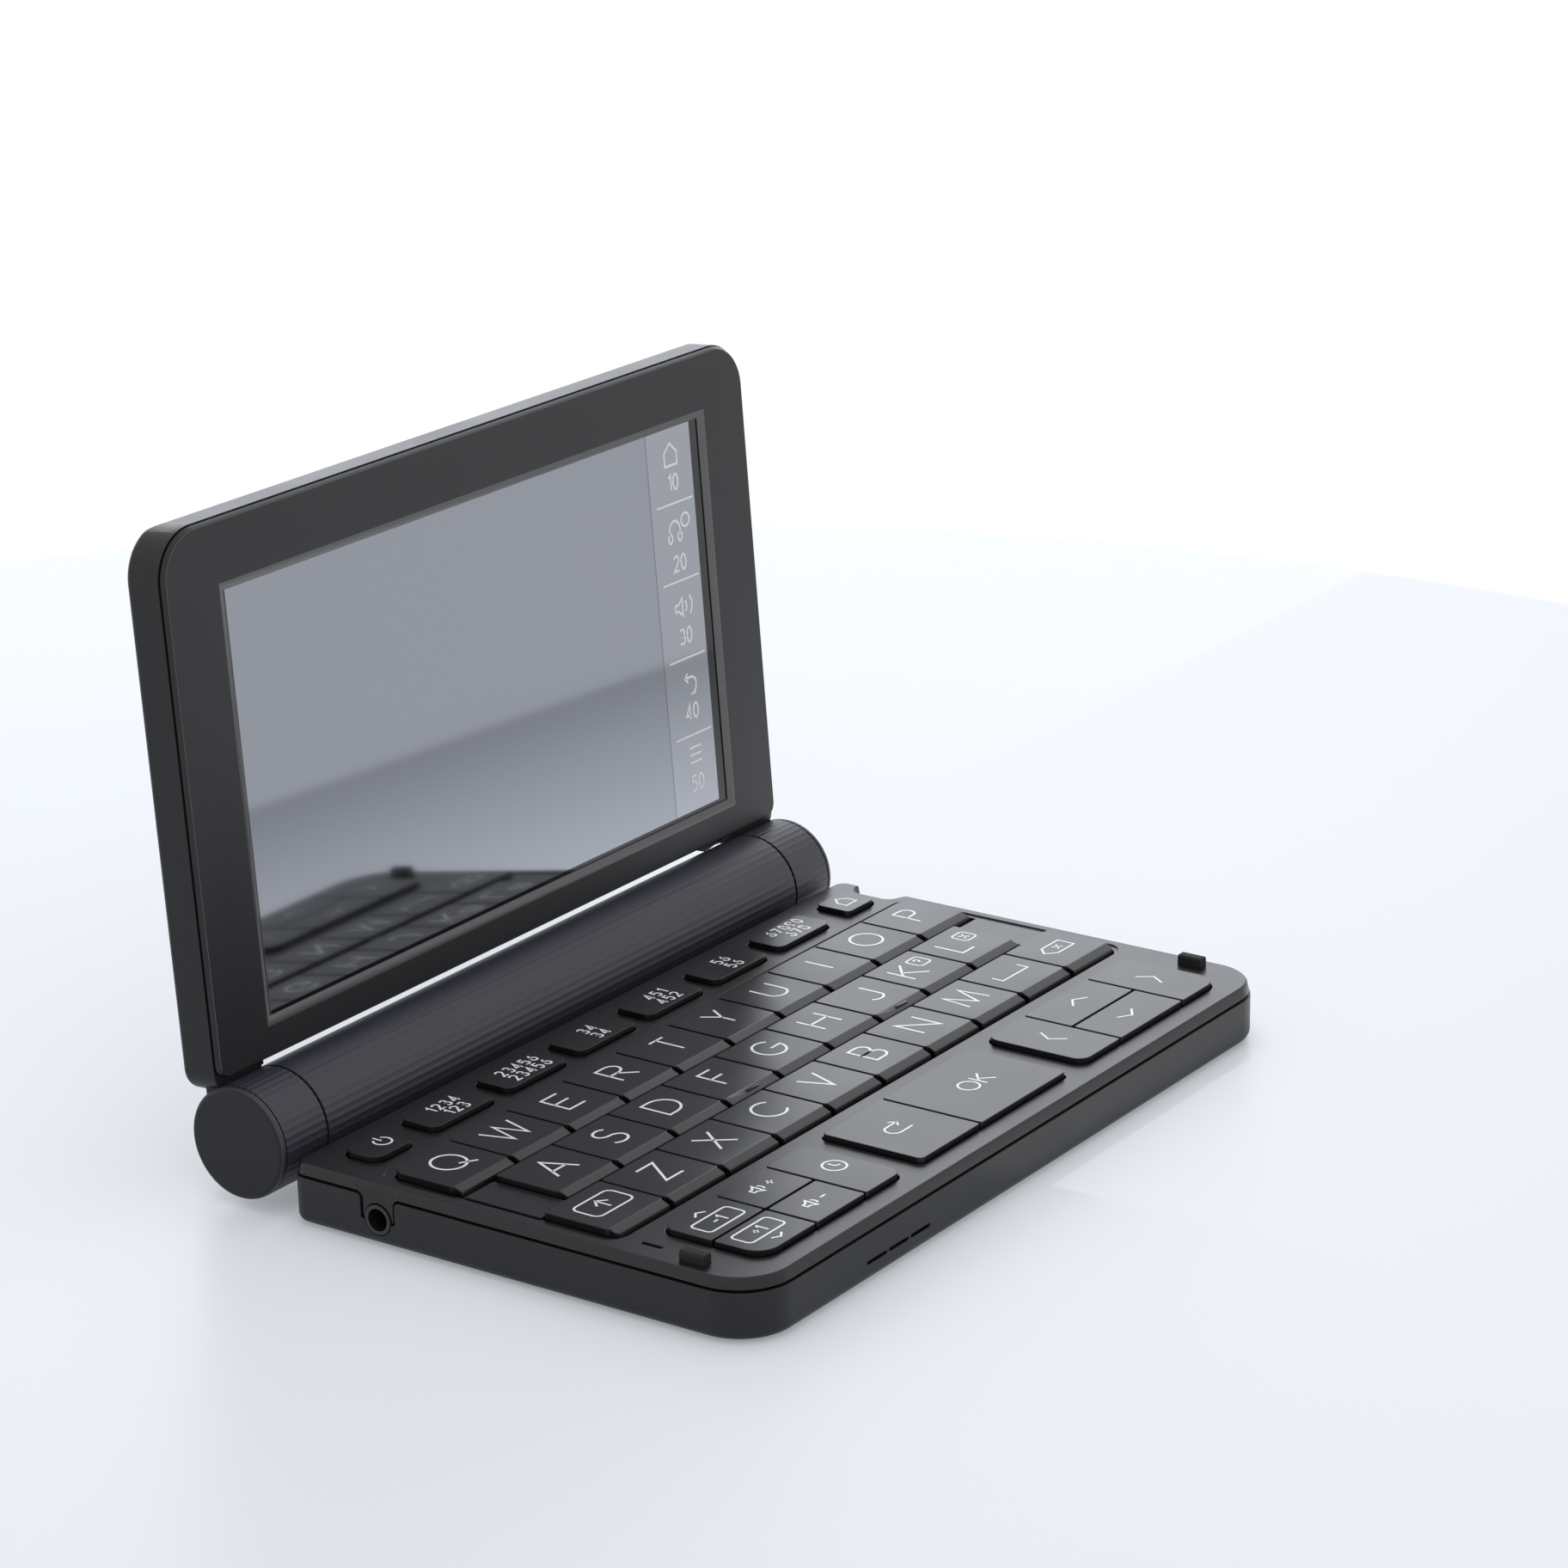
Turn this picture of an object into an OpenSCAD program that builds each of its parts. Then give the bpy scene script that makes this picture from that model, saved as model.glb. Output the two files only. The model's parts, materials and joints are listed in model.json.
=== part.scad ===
// Pocket electronic dictionary: a keyboard base and a hinged screen lid that turn on a battery barrel.
// Millimetres, +X to the user's right, +Y to the back, +Z up. The lid stands open, as in use.
// The origin is the middle of the bounding box, on the surface that the feet stand on.

/* [Case] */
// Width over the case, the lid and the barrel
case_w = 148; // [146:0.5:156]
// Depth from the front of the lower case to the rear edge of the deck
base_d = 86; // [85.5:0.5:90]
// Height of the lower case
lower_h = 7.65; // [7.4:0.05:9]
// Height of the upper case above the seam
upper_h = 1.85; // [1.8:0.05:2.4]
// Open seam between the lower and the upper case
seam = 0.35; // [0.15:0.05:0.4]
// Wall thickness of the moulded covers
wall = 1.6; // [1.4:0.1:1.8]
// Plan radius of the two front corners
front_r = 9; // [6:0.5:10]
// Plan radius of the two rear corners
rear_r = 2.5; // [2:0.25:3]
// Edge rounding round the underside
bottom_r = 1.6; // [1:0.1:1.8]
// Step from the side of the lower case in to the foot of the upper case
deck_inset = 0.2; // [0.1:0.05:0.3]
// Lean of the upper case's side, from its foot to its bevel
deck_lean = 0.35; // [0.1:0.05:0.5]
// Bevel along the rim of the deck
deck_bevel = 0.3; // [0.2:0.05:0.4]
// Thickness of the deck plate
deck_t = 1.5; // [1.3:0.1:1.6]

/* [Keys] */
// Margin from the side of the case to the letter keys
letters_side = 3.7; // [3.5:0.05:4.5]
// Rear edge of the first letter row, in front of the deck's rear edge
letters_back = 16.5; // [16.3:0.05:16.6]
// Gap between two keys side by side
key_gap = 0.45; // [0.3:0.05:0.6]
// Gap between a letter row and the next
row_gap = 0.8; // [0.7:0.05:1.1]
// Space between the letter keys and the front key group
group_space = 4.1; // [3.8:0.05:4.4]
// Depth of the front slope of a letter key
slope_d = 1.6; // [1.2:0.1:1.7]
// Drop of the front slope of a letter key
slope_h = 0.65; // [0.4:0.05:0.9]
// Depth of the steep lip below a letter key's front slope
lip_run = 0.4; // [0.2:0.05:0.6]
// Height of the key tops over the deck
key_proud = 0.9; // [0.7:0.05:1]
// Height of a key, from its foot to its top
key_h = 3.2; // [3:0.05:3.3]
// Travel of a key
key_travel = 0.5; // [0.4:0.05:0.5]
// Gap between a key's foot and the rubber dome that it presses
dome_gap = 0.6; // [0.55:0.05:0.7]
// Gap between a key and the edge of its opening
opening_gap = 0.3; // [0.2:0.05:0.35]
// Rear edge of the function keys, in front of the deck's rear edge
function_back = 5.1; // [5:0.05:5.2]
// Depth of a function key
function_d = 6.9; // [6.5:0.1:7]
// Space between two function keys
function_space = 3.5; // [3:0.1:4.5]
// Width of the power key and of the home key
end_key_w = 8.6; // [8:0.1:8.8]
// Distance from the side of the case to the middle of the power key or the home key
end_key_side = 10.4; // [10.2:0.1:10.6]
// Space beside the power key and beside the home key
end_space = 5.55; // [5:0.05:6]
// Margin from the front of the case to the front key group
front_margin = 4.8; // [4.6:0.1:5.2]
// Margin from the side of the case to the front key group
cluster_side = 8.9; // [8.6:0.1:9.4]
// Depth of the front key group
cluster_d = 18.2; // [17.8:0.05:18.6]
// Space between two sets of the front key group
cluster_space = 5.1; // [4.6:0.1:5.6]
// Width of the two heading keys at the left end
prev_w = 13.4; // [12:0.1:14]
// Width of the two volume keys
volume_w = 12.8; // [12:0.1:14]
// Width of the history key
history_w = 9.9; // [9:0.1:11]
// Width of the back key
back_w = 16.5; // [15:0.1:18]
// Width of the left arrow key
left_w = 11.4; // [10:0.1:12.5]
// Width of the up key and of the down key
updown_w = 19.5; // [18:0.1:21]
// Width of the right arrow key
right_w = 11.6; // [10:0.1:12.5]

/* [Barrel] */
// Radius of the battery barrel
barrel_r = 9.05; // [9:0.05:9.3]
// Distance from the deck's rear edge back to the barrel's axis
axis_back = 10.5; // [10.4:0.1:11]
// Height of the barrel's axis over the underside
axis_h = 10.2; // [10:0.1:10.5]
// Length of each end sleeve, with its cap
sleeve_l = 10.7; // [9:0.1:11.2]
// Running gap between a sleeve's end and the barrel's end
sleeve_gap = 0.5; // [0.3:0.05:0.6]
// Number of flutes round the whole barrel
flutes = 48; // [36:2:54]
// Depth of a flute
flute_depth = 0.06; // [0.04:0.01:0.12]
// Land left between two flutes
flute_land = 0.06; // [0.04:0.02:0.3]
// Radius of the hinge pins
pin_r = 3; // [2.5:0.1:3.5]
// Radial running clearance of a hinge pin in its sleeve
pin_clear = 0.05; // [0.03:0.01:0.08]
// Radius of a battery cell
cell_r = 7.25; // [7.1:0.05:7.25]
// Length of a battery cell over its terminal
cell_l = 50.5; // [50:0.1:50.5]
// Length of the battery cover
cover_l = 104; // [102:0.5:106]

/* [Lid] */
// Thickness of the closed lid
lid_t = 7.75; // [7.2:0.05:8.5]
// Step from the front of the lower case back to the edge of the closed lid
lid_step = 1.6; // [0.5:0.1:2.5]
// Opening angle of the lid from closed
lid_open = 94; // [90:1:120]
// Distance of the bezel's face behind the hinge axis
bezel_set = 1.9; // [1.8:0.1:2.2]
// Depth of the bezel, down to the seam
bezel_t = 0.85; // [0.8:0.05:1.1]
// Plan radius of the lid's top corners
lid_r = 8; // [6:0.5:9]
// Rounding of the lid's back edges
lid_round = 1.2; // [0.8:0.1:2]
// Larger rounding along the top of the lid's back
brow_r = 2.6; // [2:0.1:3.4]
// Open seam between the lid's back and its bezel
lid_seam = 0.25; // [0.15:0.05:0.35]
// Slot between the lid's lower edge and the barrel
slot_gap = 0.55; // [0.4:0.05:0.7]
// Width of the lean along the bezel's outer edge
bezel_lean = 0.3; // [0.2:0.05:0.5]
// Bevel along the bezel's rim
bezel_bevel = 0.2; // [0.15:0.05:0.3]

/* [Screen] */
// Width of the bezel beside the glass
bezel_side = 13.3; // [13:0.1:15]
// Height of the bezel above the glass
bezel_top = 11.4; // [10.5:0.1:13]
// Lower edge of the visible glass, from the hinge axis
glass_low = 16.1; // [15.5:0.1:17]
// Slope of the frame round the glass
frame_slope = 1.4; // [1:0.1:1.6]
// Depth of the glass behind the bezel's face
glass_deep = 0.7; // [0.55:0.05:0.75]
// Thickness of the cover glass
glass_t = 1.1; // [0.8:0.1:1.3]
// Thickness of the display panel behind the glass
panel_t = 1.8; // [1.6:0.1:2.2]

/* [Details] */
// Proud height of the feet
foot_h = 0.3; // [0.2:0.05:0.5]
// Radius of the feet
foot_r = 4; // [3:0.5:5]
// Width of the lid bumpers
bumper_w = 2; // [1.6:0.1:2.2]
// Length of the lid bumpers
bumper_l = 4.4; // [3:0.2:5]
// Height of the lid bumpers over the deck
bumper_h = 1.6; // [1.2:0.1:2]
// Bore radius of the earphone socket
jack_r = 1.8; // [1.76:0.01:1.85]
// Outer radius of the earphone socket's ring
jack_ring_r = 2.4; // [2.3:0.05:2.6]
// Distance of the earphone socket in front of the deck's rear edge
jack_back = 16.8; // [16:0.1:18]
// Height of the earphone socket over the underside
jack_h = 4.15; // [4.1:0.05:4.3]
// Length of the strap notch
notch_l = 9.4; // [8:0.1:9.4]
// Depth of the strap notch
notch_d = 4; // [3:0.1:4.2]
// Radius of the screw heads' counterbores in the underside
screw_head_r = 1.8; // [1.6:0.1:2]
// Depth of the screw heads' counterbores
screw_head_h = 0.8; // [0.6:0.1:1]

/* [Hidden] */
$fn = 64;
through = 1;

// Levels, from the surface up
underside = foot_h;
seam_z = underside + lower_h;
deck_z = seam_z + seam + upper_h;
key_top = deck_z + key_proud;
key_foot = key_top - key_h;
dome_top = key_foot - dome_gap;
axis_z = underside + axis_h;
jack_z = underside + jack_h;
mat_t = 0.8;
dome_h = 0.6;
board_t = 1;
board_z = dome_top - dome_h - mat_t - board_t;

// Places along Y: the box reaches from the lower case's front to the lid's rounded back edge
tilt = 180 - lid_open;
lid_top = axis_back + base_d - lid_step;
back_reach = (lid_top - brow_r) * cos(tilt) + (bezel_set + lid_t - brow_r) * sin(tilt) + brow_r;
front_y = -(base_d + axis_back + back_reach) / 2;
deck_y = front_y + base_d;
axis_y = deck_y + axis_back;
jack_y = deck_y - jack_back;
bay_fit = 0.1;
cell_bay_r = cell_r + bay_fit;
mouth_r = cell_r + bay_fit / 2;
bay_play = 1;
bay_l = 2 * (cell_l + bay_play);

// Keys: [name, left, right, rear, front, corner radii from rear-left clockwise]
gap = key_gap / 2;
tight = 0.4;
soft = 2.2;
cluster_back = base_d - front_margin - cluster_d;
row_pitch = (cluster_back - group_space - letters_back + row_gap) / 3;
letter_d = row_pitch - row_gap;
letter_flat = letter_d - slope_d - lip_run;
letter_left = letters_side - case_w / 2;
key_pitch = -letter_left / 5;
rows = [["q", "w", "e", "r", "t", "y", "u", "i", "o", "p"],
        ["a", "s", "d", "f", "g", "h", "j", "k", "l"],
        ["shift", "z", "x", "c", "v", "b", "n", "m", "space", "delete"]];
row_shift = [0, 0.5, 0];
function row_rear(row) = deck_y - letters_back - row * row_pitch;
function letter_x(row, col) = letter_left + (row_shift[row] + col) * key_pitch;
function last(row) = len(rows[row]) - 1;
letter_keys = [
    for (row = [0:2]) for (col = [0:last(row)])
        [str("key_", rows[row][col]), letter_x(row, col) + gap, letter_x(row, col + 1) - gap,
         row_rear(row), row_rear(row) - letter_d,
         [row == 0 && col == 0 ? soft : tight, row == 0 && col == last(row) ? soft : tight,
          row == 2 && col == last(row) ? soft : tight, row == 2 && col == 0 ? soft : tight]]
];
end_key_x = case_w / 2 - end_key_side;
function_w = (2 * (end_key_x - end_key_w / 2 - end_space) - 5 * function_space) / 6;
function_pitch = function_w + function_space;
function_rear = deck_y - function_back;
function_front = function_rear - function_d;
function_keys = concat(
    [["key_power", -end_key_x - end_key_w / 2, -end_key_x + end_key_w / 2,
      function_rear, function_front, [soft, 1, 1, soft]]],
    [for (i = [0:5]) let (x = (i - 2.5) * function_pitch)
        [str("key_f", i + 1), x - function_w / 2, x + function_w / 2,
         function_rear, function_front, [1, 1, 1.6, 1.6]]],
    [["key_home", end_key_x - end_key_w / 2, end_key_x + end_key_w / 2,
      function_rear, function_front, [1, soft, soft, 1]]]
);
cluster_rear = deck_y - cluster_back;
cluster_mid = cluster_rear - cluster_d / 2;
cluster_front = cluster_rear - cluster_d;
cluster_x = case_w / 2 - cluster_side;
prev_x = prev_w - cluster_x;
volume_x = prev_x + volume_w;
history_x = volume_x + history_w;
back_x = history_x + cluster_space;
enter_x = back_x + back_w;
right_x = cluster_x - right_w;
updown_x = right_x - updown_w;
left_x = updown_x - left_w;
enter_end_x = left_x - cluster_space;
front_r_key = 3.6;
cluster_keys = [
    ["key_prev", -cluster_x, prev_x - gap, cluster_rear, cluster_mid + gap, [soft, tight, tight, tight]],
    ["key_next", -cluster_x, prev_x - gap, cluster_mid - gap, cluster_front,
     [tight, tight, tight, front_r_key]],
    ["key_vol_up", prev_x + gap, volume_x - gap, cluster_rear, cluster_mid + gap,
     [tight, tight, tight, tight]],
    ["key_vol_down", prev_x + gap, volume_x - gap, cluster_mid - gap, cluster_front,
     [tight, tight, tight, tight]],
    ["key_history", volume_x + gap, history_x, cluster_rear, cluster_front, [tight, soft, soft, tight]],
    ["key_back", back_x, enter_x - gap, cluster_rear, cluster_front, [1, tight, tight, 1]],
    ["key_enter", enter_x + gap, enter_end_x, cluster_rear, cluster_front, [tight, 1, 1, tight]],
    ["key_left", left_x, updown_x - gap, cluster_rear, cluster_front, [soft, tight, tight, soft]],
    ["key_up", updown_x + gap, right_x - gap, cluster_rear, cluster_mid + gap,
     [tight, tight, tight, tight]],
    ["key_down", updown_x + gap, right_x - gap, cluster_mid - gap, cluster_front,
     [tight, tight, tight, tight]],
    ["key_right", right_x + gap, cluster_x, cluster_rear, cluster_front,
     [tight, soft, front_r_key, tight]]
];
flat_keys = concat(function_keys, cluster_keys);
all_keys = concat(flat_keys, letter_keys);

// ---- Shared shapes ----

// Plan of a plate from corner to corner, each corner with its own radius, from rear-left clockwise
module plan(left, right, rear, front, radii) {
    corners = [[left, rear, 1, -1], [right, rear, -1, -1], [right, front, -1, 1], [left, front, 1, 1]];
    difference() {
        translate([left, front]) square([right - left, rear - front]);
        for (i = [0:3]) let (c = corners[i], r = radii[i])
            if (r > 0) translate([c[0], c[1]]) scale([c[2], c[3]]) difference() {
                translate([-through, -through]) square(r + through);
                translate([r, r]) circle(r);
            }
    }
}

// Side section of a cover with a rounded lower edge: X is the reach outwards, Y the height
module round_section(reach, h, r) {
    square([reach - r, h]);
    translate([0, r]) square([reach, h - r]);
    intersection() {
        translate([reach - r, r]) circle(r);
        translate([reach - r, 0]) square(r);
    }
}

// Side section of a cover whose side leans in and ends in a bevel
module lean_section(reach, h, lean, bevel) {
    polygon([[0, 0], [reach, 0], [reach - lean, h - bevel], [reach - lean - bevel, h], [0, h]]);
}

// Block whose four sides all have the section children(), given for a reach of $reach
module moulded(w, front, rear, r_front, r_rear, h) {
    for (side = [-1, 1]) scale([side, 1, 1]) {
        translate([w / 2 - r_front, front + r_front, 0])
            rotate([0, 0, -90]) rotate_extrude(angle = 90) let ($reach = r_front) children();
        translate([w / 2 - r_rear, rear - r_rear, 0])
            rotate_extrude(angle = 90) let ($reach = r_rear) children();
        translate([w / 2 - r_rear, rear - r_rear, 0])
            rotate([90, 0, 0]) linear_extrude(rear - front - r_rear - r_front)
                let ($reach = r_rear) children();
    }
    translate([-w / 2 + r_front, front + r_front, 0]) rotate([0, 0, -90]) rotate([90, 0, 0])
        mirror([0, 0, 1]) linear_extrude(w - 2 * r_front) let ($reach = r_front) children();
    translate([w / 2 - r_rear, rear - r_rear, 0]) rotate([0, 0, 90]) rotate([90, 0, 0])
        mirror([0, 0, 1]) linear_extrude(w - 2 * r_rear) let ($reach = r_rear) children();
    translate([-w / 2 + r_rear, front + r_front, 0])
        cube([w - 2 * r_rear, rear - front - r_rear - r_front, h]);
}

// Cylinder along X, from x0 to x1 on the hinge axis
module rod(x0, x1, r) {
    translate([x0, 0, 0]) rotate([0, 90, 0]) cylinder(h = x1 - x0, r = r);
}

// Angles between which the barrel is smooth, counted from the back (+Y) towards the top (+Z)
slot_strip = [60, 112];
no_strip = [360, 360];

// Fluted cylinder along X on the hinge axis, smooth over a strip
module fluted_rod(x0, x1, strip) {
    step = 360 / flutes;
    chord = 2 * barrel_r * sin(step / 2) - flute_land;
    flute_r = chord * chord / (8 * flute_depth) + flute_depth / 2;
    difference() {
        rod(x0, x1, barrel_r);
        for (i = [0:flutes - 1])
            if (i * step < strip[0] || i * step > strip[1])
                rotate([i * step, 0, 0]) translate([x0 - through, barrel_r + flute_r - flute_depth, 0])
                    rotate([0, 90, 0]) cylinder(h = x1 - x0 + 2 * through, r = flute_r);
    }
}

module at_axis() {
    translate([0, axis_y, axis_z]) children();
}

// Lid frame: X as the case, Y from the hinge axis up the lid, Z out of the screen
module at_lid() {
    at_axis() rotate([tilt, 0, 0]) children();
}

// ---- Case ----

// Screw posts between the lower case and the deck
post_r = 1.5;
post_side = 18;
post_x = case_w / 2 - post_side;
post_back = (function_back + function_d + letters_back) / 2;
post_front = cluster_back - group_space / 2;
posts = [for (x = [-post_x, 0, post_x]) for (back = [post_back, post_front]) [x, deck_y - back]];
post_clear = 0.3;
screw_r = 0.7;
screw_rest = 1;
notch_rear = deck_y - 4.5;
notch_x = case_w / 2 - notch_d;
notch_round = 2.5;
strap_r = 0.8;
strap_drop_r = 0.9;
strap_x = case_w / 2 - 1.9;
strap_reach = 1.5;
strap_z = seam_z - 3;
lobe_half = jack_ring_r + 0.5;
lobe_fillet = 1.2;
jack_ring_l = wall + 0.6;
jack_body_x = wall + 0.4;
jack_body_low = 2.2;
fit_gap = 0.15;

// Plan of the strap notch in the right side
module strap_notch(z0, h) {
    translate([0, 0, z0]) linear_extrude(h) {
        difference() {
            translate([notch_x, notch_rear - notch_l]) square([notch_d + through, notch_l]);
            translate([notch_x, notch_rear - notch_l]) difference() {
                translate([-through, -through]) square(notch_round + through);
                translate([notch_round, notch_round]) circle(notch_round);
            }
            translate([notch_x, notch_rear]) difference() {
                translate([-through, -notch_round]) square(notch_round + through);
                translate([notch_round, -notch_round]) circle(notch_round);
            }
        }
        // the front end runs out to the side in a soft corner
        translate([case_w / 2 - notch_round, notch_rear - notch_l - notch_round]) difference() {
            square([notch_round + through, notch_round]);
            circle(notch_round);
        }
    }
}

// Lobe of the upper case over the earphone socket, grown by a gap: X along the case, Y up from the socket
module lobe_plan(grow) {
    half = lobe_half + grow;
    r = lobe_fillet - grow;
    under = seam_z + seam - jack_z - grow;
    translate([-half, -grow]) square([2 * half, under + 2 * grow + deck_t / 2]);
    for (side = [0, 1]) mirror([side, 0]) translate([half, under - r]) difference() {
        translate([-grow - fit_gap, 0]) square([r + grow + fit_gap, r + deck_t / 2]);
        translate([r, 0]) circle(r);
    }
}

module screw_posts(z0, z1, r) {
    for (p = posts) translate([p[0], p[1], z0]) cylinder(h = z1 - z0, r = r);
}

module cavity(front_gap, z0, h) {
    inner = wall + front_gap;
    r_in = front_r - inner;
    translate([0, 0, z0]) linear_extrude(h)
        plan(-case_w / 2 + inner, case_w / 2 - inner, deck_y - inner, front_y + inner, [1, 1, r_in, r_in]);
}

// Round neck that carries the barrel behind the lower case
neck_end = 2;
neck_x = case_w / 2 - sleeve_l - neck_end;
neck_low = 3.6;
neck_high = 7.5;
neck_reach = 3;
slot_z = 3.1;
slot_h = 0.6;
slot_w = 5.2;
slot_step = 5.8;
slot_side = 28.2;
slot_x = slot_side - case_w / 2;
port_back = 32;
port_w = 7.8;
port_h = 2.8;
port_deep = 4;
foot_x = case_w / 2 - 12;
foot_front = base_d - 11;
foot_rear = 5.8;
foot_sunk = 0.5;

module lower_case() {
    color("#26262a") difference() {
        union() {
            difference() {
                translate([0, 0, underside])
                    moulded(case_w, front_y, deck_y, front_r, rear_r, lower_h)
                        round_section($reach, lower_h, bottom_r);
                cavity(0, underside + wall, lower_h);
            }
            // thick ground behind the strap notch and behind the front slots
            translate([0, 0, underside + wall]) linear_extrude(lower_h - wall)
                plan(notch_x - wall, case_w / 2 - wall / 2, deck_y - wall / 2, notch_rear - notch_l - wall,
                     [0, 0, 0, 0]);
            screw_posts(underside + wall / 2, deck_z - deck_t, post_r);
            // neck under the barrel
            translate([-neck_x, deck_y - wall / 2, underside + neck_low])
                cube([2 * neck_x, wall / 2 + neck_reach, neck_high - neck_low]);
        }
        at_axis() rod(-neck_x - through, neck_x + through, barrel_r);
        strap_notch(underside - through, lower_h + 2 * through);
        translate([strap_x, notch_rear + strap_reach, strap_z])
            rotate([90, 0, 0]) cylinder(h = strap_reach + through, r = strap_r);
        translate([strap_x, notch_rear + strap_reach, underside - through])
            cylinder(h = strap_z + strap_r + 0.3 - underside + through, r = strap_drop_r);
        // seat of the earphone socket's ring, and of the lobe that hugs it from above
        translate([-case_w / 2 - through, jack_y, jack_z]) rotate([0, 90, 0])
            cylinder(h = jack_ring_l + fit_gap + through, r = jack_ring_r + fit_gap);
        translate([-case_w / 2 - through, jack_y, jack_z]) rotate([90, 0, 90])
            linear_extrude(wall + 2 * through) lobe_plan(seam);
        // three speaker slots in the front
        for (i = [0:2]) translate([slot_x + i * slot_step, front_y - through, underside + slot_z - slot_h / 2])
            cube([slot_w, wall + 2 * through, slot_h]);
        // charging port in the right side
        translate([case_w / 2 - port_deep, deck_y - port_back - port_w / 2, underside + slot_z])
            cube([port_deep + through, port_w, port_h]);
        for (side = [-1, 1]) for (back = [foot_rear, foot_front])
            translate([side * foot_x, deck_y - back, underside - through])
                cylinder(h = foot_sunk + through, r = foot_r);
        // screw holes up the posts, with a counterbore for each head
        screw_posts(underside - through, deck_z - deck_t - screw_rest, screw_r);
        screw_posts(underside - through, underside + screw_head_h, screw_head_r);
    }
}

// Outline of the key openings
module key_opening(key) {
    plan(key[1] - opening_gap, key[2] + opening_gap, key[3] + opening_gap, key[4] - opening_gap,
         [for (r = key[5]) r > tight ? r + opening_gap : 0]);
}

recess_side = 1.3;
recess_rear = 1.7;
recess_front = 0.6;
recess_depth = 0.25;
recess_r = 3;
lip_t = 0.8;
lip_h = 1.2;
bumper_x = case_w / 2 - 3.4;
bumper_back = base_d - 13;
bumper_sunk = 0.5;
bumper_ease = 0.3;
sensor_back = base_d - 21.6;
sensor_w = 0.8;
sensor_l = 3.7;
sensor_deep = 0.6;
groove_w = 0.3;
groove_deep = 0.6;

module upper_case() {
    low = seam_z + seam;
    color("#242428") difference() {
        union() {
            translate([0, 0, low])
                moulded(case_w - 2 * deck_inset, front_y + deck_inset, deck_y - deck_inset,
                        front_r - deck_inset, rear_r - deck_inset, upper_h)
                    lean_section($reach, upper_h, deck_lean, deck_bevel);
            // lip that locates the deck inside the lower case
            difference() {
                cavity(fit_gap, low - lip_h, lip_h + through / 2);
                cavity(fit_gap + lip_t, low - lip_h - through, lip_h + 2 * through);
            }
            // lobe over the earphone socket
            translate([-case_w / 2 + deck_inset, jack_y, jack_z]) rotate([90, 0, 90])
                linear_extrude(wall + fit_gap - deck_inset) lobe_plan(0);
        }
        // hollow under the deck plate
        cavity(fit_gap + lip_t, low - through, deck_z - deck_t - low + through);
        for (key = function_keys) translate([0, 0, low]) linear_extrude(upper_h + through) key_opening(key);
        // one opening for each row of letters and for each of the three front groups
        translate([0, 0, low]) linear_extrude(upper_h + through) {
            for (row = [0:2]) row_opening(row);
            group_opening(0, 4);
            group_opening(5, 6);
            group_opening(7, 10);
        }
        // shallow recess round the letter block, but for the blank lands beside the second row
        translate([0, 0, deck_z - recess_depth]) linear_extrude(recess_depth + through) difference() {
            plan(letter_left - recess_side, -letter_left + recess_side, row_rear(0) + recess_rear,
                 row_rear(2) - letter_d - recess_front, [recess_r, recess_r, recess_r, recess_r]);
            for (side = [0, 1]) mirror([side, 0])
                translate([letter_left, row_rear(2)]) square([key_pitch, row_pitch]);
        }
        // groove along the outer edge of each blank land
        for (side = [0, 1]) mirror([side, 0, 0])
            translate([letter_left - groove_w, row_rear(2) + opening_gap, deck_z - groove_deep])
                cube([groove_w, row_pitch, groove_deep + through]);
        strap_notch(low - through, upper_h + 2 * through);
        translate([-case_w / 2 - through, jack_y, jack_z]) rotate([0, 90, 0])
            cylinder(h = wall + 4, r = jack_ring_r + fit_gap);
        for (side = [-1, 1]) translate([side * bumper_x, deck_y - bumper_back, deck_z - bumper_sunk])
            translate([-bumper_w / 2, -bumper_l / 2, 0]) cube([bumper_w, bumper_l, bumper_sunk + through]);
        translate([-bumper_x + sensor_w, deck_y - sensor_back - sensor_l / 2, deck_z - sensor_deep])
            cube([sensor_w, sensor_l, sensor_deep + through]);
        // clear of the wall behind the strap notch
        translate([0, 0, low - lip_h - through]) linear_extrude(lip_h + through)
            plan(notch_x - wall - fit_gap, case_w / 2, deck_y, notch_rear - notch_l - wall - fit_gap,
                 [0, 0, 0, 0]);
    }
}

// Opening for one letter row, and the way through to the row behind it, as wide as the middle row
module row_opening(row) {
    r_rear = row == 0 ? soft + opening_gap : 0;
    r_front = row == 2 ? soft + opening_gap : 0;
    plan(letter_x(row, 0) + gap - opening_gap, letter_x(row, last(row) + 1) - gap + opening_gap,
         row_rear(row) + opening_gap, row_rear(row) - letter_d - opening_gap,
         [r_rear, r_rear, r_front, r_front]);
    if (row > 0)
        plan(letter_x(1, 0) + gap - opening_gap, letter_x(1, last(1) + 1) - gap + opening_gap,
             row_rear(row) + row_gap, row_rear(row), [0, 0, 0, 0]);
}

// Opening for the front keys number a to b
module group_opening(a, b) {
    left = cluster_keys[a];
    right = cluster_keys[b];
    left_front = a == 0 ? cluster_keys[1] : left;
    plan(left[1] - opening_gap, right[2] + opening_gap, cluster_rear + opening_gap,
         cluster_front - opening_gap,
         [for (r = [left[5][0], right[5][1], right[5][2], left_front[5][3]]) r + opening_gap]);
}

// ---- Inner parts of the base ----

board_clear = 1.4;
board_side = case_w / 2 - wall - board_clear;
board_rear = wall + board_clear;
board_front = base_d - wall - board_clear;
board_corner = front_r - wall - board_clear;
board_right = notch_x - wall - 0.5;
jack_l = 13;
jack_body = 6;
jack_end = 1;
mat_clear = 0.2;

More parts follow.
